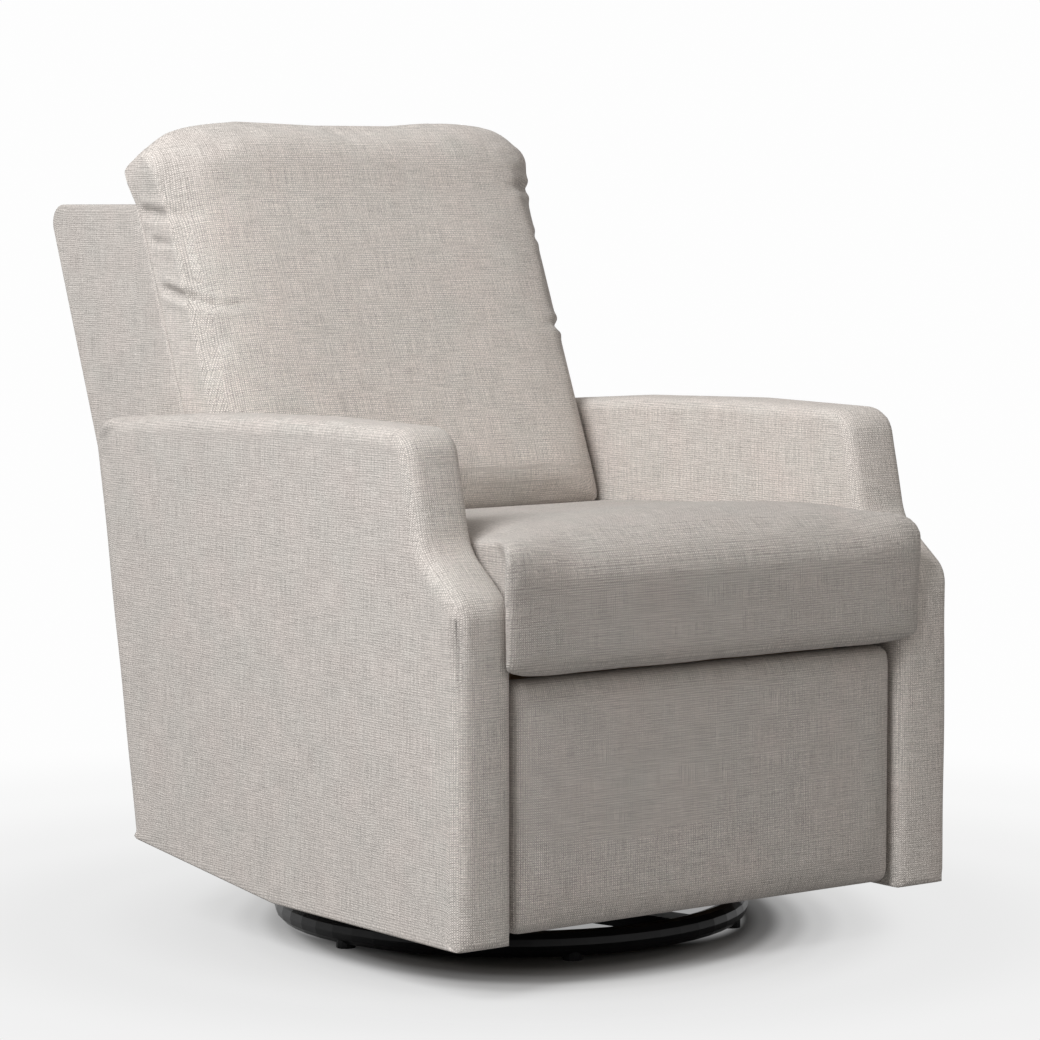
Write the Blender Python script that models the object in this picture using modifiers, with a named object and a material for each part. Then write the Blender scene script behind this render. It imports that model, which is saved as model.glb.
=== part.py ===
"""Swivel glider recliner: an upholstered armchair on a round tube base.

Metres, +Z up, front of the chair towards -Y, +X on the right as seen from the front.
The part's origin is on the floor below the middle of its outline. Inside the script, places
along Y are measured from the swivel axis, which stands at SWIVEL_Y in the part's frame.

How it moves: the body turns on a ball bearing in the base, hangs on four swinging links that
let it glide, the back leans on a hinge while the seat runs forward on rollers, and a double
scissor linkage on each side pushes the footrest out and turns it level.
"""

import math

import bmesh
import bpy
from mathutils import Matrix, Vector

# Clearances
SEAT_GAP = 0.0003          # between pieces that touch
HOLE_GAP = 0.0003          # pin in its hole, on the radius
SLOT_GAP = 0.0005          # roller or pin in its slot
PLATE_CLEARANCE = 0.001    # between steel plates that pass each other
CUSHION_GAP = 0.002        # seat cushion beside the arms
BACK_GAP = 0.0026          # back beside the arms
FOOTREST_GAP = 0.0064      # footrest beside the arms and under the cushion
RIVET_INSET = 0.0001       # a rivet ends this far inside the face of its link
WELD_SET = 0.001           # shapes that are fused never share a plane: one is set in by this

# Place of the swivel axis in the part's frame
SWIVEL_Y = -0.1030

# Base ring and its cross bars
RING_RADIUS = 0.281        # to the middle of the tube
RING_TUBE = 0.016
RING_STEPS = 56            # straight stretches round the ring
TUBE_SIDES = 12
GLIDE_HEIGHT = 0.004       # floor to the underside of the ring
GLIDE_RADIUS = 0.012
GLIDE_COUNT = 6
GLIDE_HEADING = -172.0     # degrees, first glide
BAR_WIDTH = 0.036
BAR_HEIGHT = 0.020
BAR_HEADING = 15.0         # degrees from +X
BAR_COUNT = 4

# Swivel bearing
BEARING_PLATE_RADIUS = 0.080
BEARING_PLATE = 0.004
BALL_RADIUS = 0.006
BALL_PITCH_RADIUS = 0.045
BALL_COUNT = 10
CAGE_WIDTH = 0.010         # flat ring that holds the balls
CAGE_THICKNESS = 0.002
CAGE_SIDES = 3 * BALL_COUNT
KING_BOLT_RADIUS = 0.008
KING_BOLT_HEAD = 0.015
BOLT_SIDES = 16            # sides of the king bolt and of its bores
PLATE_SIDES = 32
BOLT_HEAD_RADIUS = 0.006
BOLT_HEAD_HEIGHT = 0.003
HEX = 6
LOWER_BOLT_RADIUS = 0.066  # bolt circle on the cross bars
UPPER_PLATE_RADIUS = 0.100
UPPER_BOLT_X = 0.068
UPPER_BOLT_Y = 0.050
GLIDER_BASE_HALF_DEPTH = 0.070
GLIDER_BASE_PLATE = 0.006

# Glider links
GLIDE_LINK_LENGTH = 0.100
GLIDE_LINK_HALF_WIDTH = 0.0125
GLIDE_PIVOT_Y = 0.120      # front and rear pivots, each side of the axis
GLIDE_TOP_Z = 0.200
GLIDE_PLATE = 0.004
GLIDE_CLEARANCE = 0.0015   # between plates of the glider that pass each other
GLIDE_END_STEPS = 8
POST_X = 0.198             # inner face of the glider side frames
FOOT_HEIGHT = 0.0235       # lower bar of the glider side frames
PIN_RADIUS = 0.004
PIN_SIDES = 10             # sides of pins and rivets and of the holes they turn in

# Side view of an arm, as Y and Z of its corners
ARM_FRONT_Y = -0.394
BODY_UNDERSIDE = 0.060     # floor to the bottom edge of the arms
SCOOP_BOTTOM = 0.447       # the front face ends here and slants back
SCOOP_HOLLOW = (-0.321, 0.505)
ARM_NOSE = (-0.290, 0.637)
ARM_CREST = (-0.080, 0.640)
ARM_SADDLE = (0.140, 0.634)
ARM_REAR_TOP = (0.387, 0.615)
ARM_REAR_BOTTOM = (0.295, 0.097)
ARM_HEEL_Y = -0.017        # the underside rises behind this
NOSE_ROUNDING = 0.035      # at both ends of the scoop
HOLLOW_ROUNDING = 0.060
TOP_ROUNDING = 0.300
REAR_ROUNDING = 0.032
HEEL_ROUNDING = 0.012

# Body of the chair
ARM_OUTER_X = 0.367
ARM_THICKNESS = 0.0744
COVER_WALL = 0.005         # padded cover of the arms and the back
COVER_ROUNDING = 0.010
SMOOTH_ANGLE = math.radians(35.0)
EDGE_ANGLE = math.radians(50.0)
ARM_FRAME = 0.018          # plywood side panel inside each arm
CORE_INSET = 0.0102        # core of the arm inside the outline of the cover
CROSS_RAIL_DEPTH = 0.023
CROSS_RAIL_HEIGHT = 0.034
FRONT_RAIL_Y = -0.210
FRONT_RAIL_BOTTOM = 0.066
REAR_RAIL_Y = 0.235
REAR_RAIL_BOTTOM = 0.095
GLIDER_RAIL_HALF_HEIGHT = 0.015
WOOD_ROUNDING = 0.002
REAR_PANEL_HEIGHT = 0.158
REAR_PANEL_LIFT = 0.007    # above the arms' rear lower corner
REAR_PANEL_INSET = 0.003   # inside the arms' rear edge
REAR_PANEL = 0.020
REAR_PANEL_ROUNDING = 0.008

# Side mechanism: flat steel plates in layers, counted inwards from the arm
SIDE_LAYER, CARRIAGE_LAYER, DRIVE_LAYER, CROSS_LAYER, BRACKET_LAYER = range(5)
PLATE = 0.003
PLATE_CORNER = 0.010
SIDE_PLATE_Y = (-0.250, 0.205)
SIDE_PLATE_HALF_HEIGHT = 0.030
ROLLER_Y = (-0.180, 0.130)
ROLLER_DROP = 0.0325       # from the seat frame down to the rollers
ROLLER_RADIUS = 0.0055
SEAT_TRAVEL = 0.030        # the seat runs forward by this as the back leans to its limit
LINK_HALF_WIDTH = 0.0095
LINK_END_STEPS = 6
RIVET_RADIUS = 0.0035
CARRIAGE_HALF_HEIGHT = 0.022
LEG_FRONT = 0.038          # carriage plate in front of the drive pivot
LEG_REAR = 0.018           # and behind the lower pin of the cross link
HINGE_EYE = 0.014
HINGE_NECK = (-0.045, 0.017)   # from the hinge to where its eye joins the carriage plate
FOOT_SLOT_STEPS = 8

# Seat
SEAT_FRAME_BOTTOM = 0.3445
SEAT_FRAME_HEIGHT = 0.019
SEAT_FRAME_FRONT_Y = -0.285
SEAT_FRAME_REAR_Y = 0.195
SEAT_RAIL_WIDTH = 0.040
SEAT_CROSS_WIDTH = 0.048
SPRING_WIRE = 0.0019
SPRING_COUNT = 4
SPRING_WAVES = 16
SPRING_SWING = 0.022
SPRING_TAIL = 0.020        # straight end of each wire
SPRING_RUN = 0.72          # share of each bend that runs along the seat
TIE_WIRE = 0.0026
CUSHION_HEIGHT = 0.151
CUSHION_CROWN = 0.026
CUSHION_OVERHANG = 0.025   # ahead of the arms
CUSHION_REAR_Y = 0.196
CUSHION_DRAW_IN = 0.005
CUSHION_SIDE_EDGE = 0.028  # how far the rounding of its edges reaches
CUSHION_LOW_EDGE = 0.030
CUSHION_FRONT_EDGE = 0.050
CUSHION_REAR_DRAW_IN = 0.006
CUSHION_REAR_FALL = 0.026  # the top falls by this at the rear
CUSHION_LOW_ROLL = 0.020   # the front rolls back below and above
CUSHION_TOP_ROLL = 0.014
CUSHION_CUTS = (8, 9, 3)   # along X, Y and Z

# Back, in its own leaning frame: V runs rearwards square to the back, U runs up along it
BACK_LEAN = math.radians(22.0)
BACK_HINGE = (0.280, 0.335)    # Y and Z of the hinge
BACK_FRONT_V = -0.089
BACK_DEPTH = 0.2075
BACK_BOTTOM_U = 0.018
BACK_LEDGE_Z = 0.889           # height of the flat ledge on top of the back
BACK_CORNER = 0.030            # rounding of the upper rear edge
STILE_WIDTH = 0.035
STILE_DEPTH = 0.038
STILE_LENGTH = 0.526
STILE_INSET = 0.004            # above the lower edge of the back
BACK_RAIL_HEIGHT = 0.040
BACK_RAIL_RISE = 0.012
WEB_WIDTH = 0.050
WEB_THICKNESS = 0.002
WEB_ROWS = 5
WEB_COLUMNS = 5
BRACKET_CORNER = 0.009
HINGE_BRACKET_TOP = 0.150      # up the stile from the hinge
HINGE_BRACKET_INSET = 0.004
HINGE_BRACKET_FRONT = 0.030    # where its front and rear edges leave the stile
HINGE_BRACKET_REAR = 0.060
HINGE_BRACKET_EYE = 0.012
HINGE_BRACKET_TIP = 0.010
PILLOW_BOTTOM_U = 0.140
PILLOW_TOP_U = 0.6645
PILLOW_THICKNESS = 0.049       # along its sides
PILLOW_CROWN = 0.052
PILLOW_HEAD = 0.014            # extra fullness at the head
PILLOW_HEAD_PLACE = 0.62       # share of the half height, up from the middle
PILLOW_HEAD_REACH = 0.26
PILLOW_DRAW_IN = 0.006
PILLOW_SIDE_EDGE = 0.036       # how far the rounding of its edges reaches
PILLOW_FRONT_EDGE = 0.018
PILLOW_REAR_EDGE = 0.005
PILLOW_TOP_EDGE = 0.042
PILLOW_SHOULDER = 0.026        # how far its upper corners are drawn down
PILLOW_CUTS = (8, 3, 9)        # along X, V and U

# Footrest linkage: a double scissor of four equal links a side
LINK_LENGTH = 0.250
DRIVE_DROP = 0.0125                # from the seat frame down to the drive pivot
DRIVE_ANGLE = (2.0, 72.0)          # degrees from straight down, folded and open
CROSS_ANGLE = (12.0, 50.0)         # degrees from straight up, folded and open
TORQUE_TUBE_RADIUS = 0.008
TORQUE_TUBE_SIDES = 14
TUBE_BITE = 0.0005                 # the torque tube is welded this deep into the drive links
TILT_PIVOT = (0.0013, -0.1156)     # on the footrest bracket, from its main pivot
TILT_EAR = 0.0115                  # half height of the bracket's ear round that pivot
TILT_EAR_SLOPE = 0.012
FOOTREST_THICKNESS = 0.052         # pad and board together
FOOTREST_INSET = 0.002             # behind the front of the arms
FOOTREST_LIFT = 0.008              # above the underside of the arms
FOOTREST_ROUNDING = 0.014
FOOTREST_BOARD = 0.012
BOARD_INSET = 0.006
BRACKET_STANDOFF = 0.015           # from the board back to the bracket's main pivot
BRACKET_FLANGE = 0.0025
BRACKET_FLANGE_WIDTH = 0.020
BRACKET_STRIP = 0.011
BRACKET_RISE = 0.018               # of the bracket above its main pivot
BRACKET_SHOULDER = (0.012, 0.032)  # below that pivot, where the plate narrows to a strip
BRACKET_DROP = 0.200

# Sizes that follow from the ones above
ARM_INNER_X = ARM_OUTER_X - ARM_THICKNESS
BACK_HALF_WIDTH = ARM_INNER_X - BACK_GAP
BACK_REAR_V = BACK_FRONT_V + BACK_DEPTH
BACK_HINGE_Y, BACK_HINGE_Z = BACK_HINGE
PILLOW_REAR_V = BACK_FRONT_V - SEAT_GAP
PILLOW_SIDE_V = BACK_FRONT_V - PILLOW_THICKNESS
RING_Z = GLIDE_HEIGHT + RING_TUBE
BAR_TOP = RING_Z + BAR_HEIGHT / 2
LOWER_PLATE_Z = BAR_TOP + SEAT_GAP
BALL_Z = LOWER_PLATE_Z + BEARING_PLATE + SEAT_GAP + BALL_RADIUS
UPPER_PLATE_Z = BALL_Z + BALL_RADIUS + SEAT_GAP
GLIDER_BASE_Z = UPPER_PLATE_Z + BEARING_PLATE + SEAT_GAP
FOOT_TOP = GLIDER_BASE_Z + FOOT_HEIGHT
FOOT_OUTER_Y = GLIDE_PIVOT_Y + GLIDE_LINK_HALF_WIDTH
GLIDE_LOW_Z = GLIDE_TOP_Z - GLIDE_LINK_LENGTH
GLIDE_LINK_X = POST_X + GLIDE_PLATE + GLIDE_CLEARANCE
GLIDER_RAIL_X = GLIDE_LINK_X + GLIDE_PLATE + GLIDE_CLEARANCE
ARM_FRAME_X = ARM_INNER_X + COVER_WALL + SEAT_GAP
ARM_PADDING_X = ARM_FRAME_X + ARM_FRAME + SEAT_GAP
REAR_PANEL_BOTTOM = ARM_REAR_BOTTOM[1] + REAR_PANEL_LIFT
REAR_PANEL_TOP = REAR_PANEL_BOTTOM + REAR_PANEL_HEIGHT
LAYER_PITCH = PLATE + PLATE_CLEARANCE
ROLLER_Z = SEAT_FRAME_BOTTOM - ROLLER_DROP
SEAT_FRAME_TOP = SEAT_FRAME_BOTTOM + SEAT_FRAME_HEIGHT
CUSHION_BOTTOM = SEAT_FRAME_TOP + 2 * SEAT_GAP
CUSHION_EDGE_TOP = CUSHION_BOTTOM + CUSHION_HEIGHT
CUSHION_FRONT_Y = ARM_FRONT_Y - CUSHION_OVERHANG
STILE_BOTTOM_U = BACK_BOTTOM_U + STILE_INSET
STILE_TOP_U = STILE_BOTTOM_U + STILE_LENGTH
FOOTREST_HALF_WIDTH = ARM_INNER_X - FOOTREST_GAP
FOOTREST_BOTTOM = BODY_UNDERSIDE + FOOTREST_LIFT
FOOTREST_TOP = CUSHION_BOTTOM - FOOTREST_GAP
FOOTREST_FRONT_Y = ARM_FRONT_Y + FOOTREST_INSET
FOOTREST_BOARD_REAR_Y = FOOTREST_FRONT_Y + FOOTREST_THICKNESS

# Colour, roughness and metallic value of each finish
FINISHES = {
    "linen": ((0.60, 0.55, 0.50), 0.90, 0.0),
    "black_gloss": ((0.015, 0.015, 0.016), 0.25, 0.0),
    "black_steel": ((0.04, 0.04, 0.042), 0.45, 0.9),
    "zinc_steel": ((0.55, 0.55, 0.54), 0.35, 1.0),
    "spring_steel": ((0.30, 0.30, 0.31), 0.40, 1.0),
    "plywood": ((0.62, 0.46, 0.29), 0.70, 0.0),
    "hardwood": ((0.50, 0.35, 0.20), 0.65, 0.0),
    "foam": ((0.80, 0.76, 0.62), 0.95, 0.0),
    "webbing": ((0.10, 0.10, 0.11), 0.85, 0.0),
}

GROUND = (0.0, 0.0)


def rad(degrees):
    return math.radians(degrees)


def turned(vector, angle):
    """A (Y, Z) pair turned by an angle about +X."""
    y, z = vector
    return (y * math.cos(angle) - z * math.sin(angle), y * math.sin(angle) + z * math.cos(angle))


def added(*vectors):
    return (sum(v[0] for v in vectors), sum(v[1] for v in vectors))


def scissor(share):
    """Pivots of the footrest linkage, from the drive pivot, at a share of its stroke.

    a runs from the drive pivot to p, b crosses a at m1 and runs from foot to q, c runs from p
    to e beside b, and d runs from q to f beside a, crossing c at m2.
    """
    drive = rad(DRIVE_ANGLE[0] + share * (DRIVE_ANGLE[1] - DRIVE_ANGLE[0]))
    cross = rad(CROSS_ANGLE[0] + share * (CROSS_ANGLE[1] - CROSS_ANGLE[0]))
    along_a = (-LINK_LENGTH * math.sin(drive), -LINK_LENGTH * math.cos(drive))
    along_b = (-LINK_LENGTH * math.sin(cross), LINK_LENGTH * math.cos(cross))
    half_a = (along_a[0] / 2, along_a[1] / 2)
    half_b = (along_b[0] / 2, along_b[1] / 2)
    p = along_a
    foot = (half_a[0] - half_b[0], half_a[1] - half_b[1])
    q = added(foot, along_b)
    return {
        "p": p, "m1": half_a, "foot": foot, "q": q, "e": added(p, along_b),
        "f": added(q, along_a), "m2": added(p, half_b),
        "a_angle": -drive - math.pi / 2, "b_angle": cross + math.pi / 2,
    }


FOLDED = scissor(0.0)
DRIVE_Y = FOOTREST_BOARD_REAR_Y + BRACKET_STANDOFF - FOLDED["e"][0]
DRIVE_Z = SEAT_FRAME_BOTTOM - DRIVE_DROP
DRIVE_PIVOT = (DRIVE_Y, DRIVE_Z)
P_PIVOT = added(DRIVE_PIVOT, FOLDED["p"])
M1_PIVOT = added(DRIVE_PIVOT, FOLDED["m1"])
FOOT_PIVOT = added(DRIVE_PIVOT, FOLDED["foot"])
Q_PIVOT = added(DRIVE_PIVOT, FOLDED["q"])
E_PIVOT = added(DRIVE_PIVOT, FOLDED["e"])
F_PIVOT = added(DRIVE_PIVOT, FOLDED["f"])
G_PIVOT = added(E_PIVOT, TILT_PIVOT)

# Each moving body: its parent and its pivot, as Y and Z from the swivel axis
BODIES = {
    "base": (None, GROUND),
    "swivel": ("base", GROUND),
    "front_glide_links": ("swivel", (-GLIDE_PIVOT_Y, GLIDE_TOP_Z)),
    "rear_glide_links": ("swivel", (GLIDE_PIVOT_Y, GLIDE_TOP_Z)),
    "chassis": ("front_glide_links", (-GLIDE_PIVOT_Y, GLIDE_LOW_Z)),
    "seat_carriage": ("chassis", (0.0, ROLLER_Z)),
    "back": ("seat_carriage", BACK_HINGE),
    "drive_links": ("seat_carriage", DRIVE_PIVOT),
    "cross_links": ("drive_links", M1_PIVOT),
    "outer_cross_links": ("drive_links", P_PIVOT),
    "outer_drive_links": ("cross_links", Q_PIVOT),
    "tilt_links": ("outer_drive_links", F_PIVOT),
    "footrest": ("outer_cross_links", E_PIVOT),
}

SIDES = (("left", 1), ("right", -1))       # left as the person in the chair has it
STANDING = Matrix.Rotation(rad(90), 3, "Z") @ Matrix.Rotation(rad(90), 3, "X")
LEANING = Matrix.Rotation(-BACK_LEAN, 3, "X")


# Scene

for old in list(bpy.data.objects):
    bpy.data.objects.remove(old)

parts = bpy.data.collections.new("swivel_recliner")
cutters = bpy.data.collections.new("cutters")
bpy.context.scene.collection.children.link(parts)
bpy.context.scene.collection.children.link(cutters)

empties = {}
for body_name, (parent_name, pivot) in BODIES.items():
    empty = bpy.data.objects.new("pivot_" + body_name, None)
    parts.objects.link(empty)
    if parent_name is None:
        empty.location = (0.0, SWIVEL_Y, 0.0)
    else:
        empty.parent = empties[parent_name]
        above = BODIES[parent_name][1]
        empty.location = (0.0, pivot[0] - above[0], pivot[1] - above[1])
    empties[body_name] = empty

materials = {}


def finish_material(name):
    """One Principled BSDF material for each finish."""
    if name not in materials:
        colour, roughness, metallic = FINISHES[name]
        material = bpy.data.materials.new(name)
        material.use_nodes = True
        shader = material.node_tree.nodes["Principled BSDF"]
        shader.inputs["Base Color"].default_value = (*colour, 1.0)
        shader.inputs["Roughness"].default_value = roughness
        shader.inputs["Metallic"].default_value = metallic
        materials[name] = material
    return materials[name]


def add_piece(name, mesh, body, finish, at=(0.0, 0.0, 0.0), rotation=None):
    """Put a mesh in the model, at a place measured from the swivel axis, carried by a body."""
    piece = bpy.data.objects.new(name, mesh)
    parts.objects.link(piece)
    piece.parent = empties[body]
    pivot_y, pivot_z = BODIES[body][1]
    piece.location = (at[0], at[1] - pivot_y, at[2] - pivot_z)
    if rotation is not None:
        piece.rotation_euler = rotation.to_euler()
    mesh.materials.clear()
    mesh.materials.append(finish_material(finish))
    return piece


def set_aside(piece):
    """Make a piece into a shape that only joins or cuts another."""
    parts.objects.unlink(piece)
    cutters.objects.link(piece)
    piece.hide_render = True
    piece.display_type = "WIRE"


def add_boolean(piece, other, operation):
    modifier = piece.modifiers.new(operation.lower(), "BOOLEAN")
    modifier.operation = operation
    modifier.object = other


def finish_mesh(name, shape, smooth=False):
    """Turn a bmesh into a mesh with faces out."""
    bmesh.ops.recalc_face_normals(shape, faces=shape.faces)
    mesh = bpy.data.meshes.new(name)
    shape.to_mesh(mesh)
    shape.free()
    if smooth:
        mesh.shade_smooth()
        mesh.set_sharp_from_angle(angle=SMOOTH_ANGLE)
    return mesh


# Shapes

def sided(side, near, far):
    """Low and high X of a piece between two distances from the middle, on one side."""
    return tuple(sorted((side * near, side * far)))


def span(low_high):
    return low_high[1] - low_high[0], (low_high[0] + low_high[1]) / 2


def add_box(shape, x, y, z):
    """A box between pairs of low and high values."""
    (size_x, mid_x), (size_y, mid_y), (size_z, mid_z) = span(x), span(y), span(z)
    place = Matrix.Translation((mid_x, mid_y, mid_z)) @ Matrix.Diagonal((size_x, size_y, size_z, 1))
    bmesh.ops.create_cube(shape, size=1.0, matrix=place)


def add_cylinder(shape, centre, radius, length, axis, sides):
    turn = {"X": Matrix.Rotation(rad(90), 4, "Y"), "Z": Matrix.Identity(4)}[axis]
    bmesh.ops.create_cone(shape, cap_ends=True, segments=sides, radius1=radius, radius2=radius,
                          depth=length, matrix=Matrix.Translation(centre) @ turn)


def round_edges(piece, width, segments):
    bevel = piece.modifiers.new("rounded_edges", "BEVEL")
    bevel.width = width
    bevel.segments = segments
    return bevel


def box_piece(name, body, finish, x, y, z):
    """A node that is one box, placed at its middle."""
    middle = [span(pair)[1] for pair in (x, y, z)]
    shape = bmesh.new()
    add_box(shape, *[(pair[0] - mid, pair[1] - mid) for pair, mid in zip((x, y, z), middle)])
    return add_piece(name, finish_mesh(name, shape), body, finish, middle)


def wooden_rail(name, body, x, y, z):
    round_edges(box_piece(name, body, "hardwood", x, y, z), WOOD_ROUNDING, 1)


def arc(centre, radius, start, end, steps):
    """Points along an arc; angles in degrees."""
    points = []
    for step in range(steps + 1):
        angle = rad(start + (end - start) * step / steps)
        points.append((centre[0] + radius * math.cos(angle), centre[1] + radius * math.sin(angle)))
    return points


def circle(centre, radius, sides):
    return arc(centre, radius, 0.0, 360.0, sides)[:-1]


def pin_hole(centre, radius=RIVET_RADIUS):
    """The hole that a pin or rivet turns in."""
    return circle(centre, radius + HOLE_GAP, PIN_SIDES)


def bar_outline(start, end, half_width, steps=LINK_END_STEPS):
    """A straight link with round ends."""
    heading = math.degrees(math.atan2(end[1] - start[1], end[0] - start[0]))
    return (arc(end, half_width, heading - 90, heading + 90, steps)
            + arc(start, half_width, heading + 90, heading + 270, steps))


def rounded_outline(corners, step_angle=22.5):
    """A closed outline through corners (y, z, radius), each one rounded by its radius."""
    points = []
    count = len(corners)
    for index, (y, z, radius) in enumerate(corners):
        here = Vector((y, z))
        before = (Vector(corners[index - 1][:2]) - here).normalized()
        after = (Vector(corners[(index + 1) % count][:2]) - here).normalized()
        if radius <= 0.0:
            points.append((y, z))
            continue
        half = before.angle(after) / 2
        reach = radius / math.tan(half)
        centre = here + (before + after).normalized() * (radius / math.sin(half))
        first = here + before * reach - centre
        sweep = math.pi - 2 * half
        turn_sign = 1.0 if before.x * after.y - before.y * after.x < 0 else -1.0
        steps = max(1, round(math.degrees(sweep) / step_angle))
        for step in range(steps + 1):
            spun = turned(first, turn_sign * sweep * step / steps)
            points.append((centre.x + spun[0], centre.y + spun[1]))
    return points


def inset_outline(points, distance):
    """The same outline drawn in by a distance on every side."""
    area = sum(points[i - 1][0] * points[i][1] - points[i][0] * points[i - 1][1]
               for i in range(len(points)))
    side = 1.0 if area > 0 else -1.0
    result = []
    for index, point in enumerate(points):
        here = Vector(point)
        before = (here - Vector(points[index - 1])).normalized()
        after = (Vector(points[(index + 1) % len(points)]) - here).normalized()
        normal_before = Vector((-before.y, before.x)) * side
        normal_after = Vector((-after.y, after.x)) * side
        mitre = (normal_before + normal_after).normalized()
        moved = here + mitre * (distance / mitre.dot(normal_before))
        result.append((moved.x, moved.y))
    return result


def outline_mesh(name, outline, holes, thickness):
    """A flat outline with holes, as thick as told, from a filled 2D curve."""
    curve = bpy.data.curves.new(name, "CURVE")
    curve.dimensions = "2D"
    curve.fill_mode = "BOTH"
    curve.extrude = thickness / 2
    for loop in [outline] + list(holes):
        spline = curve.splines.new("POLY")
        spline.points.add(len(loop) - 1)
        for point, (u, v) in zip(spline.points, loop):
            point.co = (u, v, 0.0, 1.0)
        spline.use_cyclic_u = True
    guide = bpy.data.objects.new(name, curve)
    cutters.objects.link(guide)
    bpy.context.view_layer.update()
    graph = bpy.context.evaluated_depsgraph_get()
    flat = bpy.data.meshes.new_from_object(guide.evaluated_get(graph))
    bpy.data.objects.remove(guide)
    bpy.data.curves.remove(curve)
    shape = bmesh.new()
    shape.from_mesh(flat)
    bpy.data.meshes.remove(flat)
    bmesh.ops.remove_doubles(shape, verts=shape.verts, dist=0.00001)
    return finish_mesh(name, shape)


def standing_plate(name, body, finish, x, outline, holes=(), at=GROUND, lean=0.0):
    """A plate upright along the chair: outline in (Y, Z) from at, x its low and high faces."""
    thickness, middle = span(x)
    rotation = Matrix.Rotation(lean, 3, "X") @ STANDING
    mesh = outline_mesh(name, outline, holes, thickness)
    return add_piece(name, mesh, body, finish, (middle, at[0], at[1]), rotation)


def lying_plate(name, body, finish, z, outline, holes=()):
    """A plate flat over the swivel axis: outline in (X, Y), z its low and high faces."""
    thickness, middle = span(z)
    return add_piece(name, outline_mesh(name, outline, holes, thickness), body, finish,
                     (0.0, 0.0, middle))


def turned_piece(name, body, finish, profile, steps):
    """A profile of (radius, height) points, from the top down, spun about the swivel axis."""
    shape = bmesh.new()
    verts = [shape.verts.new((radius, 0.0, height)) for radius, height in profile]
    for first, second in zip(verts, verts[1:]):
        shape.edges.new((first, second))
    mesh = bpy.data.meshes.new(name)
    shape.to_mesh(mesh)
    shape.free()
    piece = add_piece(name, mesh, body, finish)
    screw = piece.modifiers.new("turned", "SCREW")
    screw.axis = "Z"
    screw.steps = steps
    screw.render_steps = steps
    screw.use_merge_vertices = True
    screw.merge_threshold = 0.00001
    screw.use_smooth_shade = True


def layer(number, side=1):
    """Low and high X of a steel plate in the side mechanism, counted in from the arm."""
    outer = ARM_INNER_X - SEAT_GAP - number * LAYER_PITCH
    return sided(side, outer - PLATE, outer)


def join_shape(piece, name, shape, body, at=(0.0, 0.0, 0.0)):
    """Fuse another shape to a piece."""
    other = add_piece(name, finish_mesh(name, shape), body, "black_steel", at)
    set_aside(other)
    add_boolean(piece, other, "UNION")


def join_rivets(piece, body, centres, x, radius=RIVET_RADIUS):
    """Fuse rivets to a link: they reach through its neighbour's holes."""
    shape = bmesh.new()
    length, middle = span(x)
    first = centres[0]
    for y, z in centres:
        add_cylinder(shape, (0.0, y - first[0], z - first[1]), radius, length, "X", PIN_SIDES)
    join_shape(piece, "rivets_of_" + piece.name, shape, body, (middle, *first))


# Base

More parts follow.
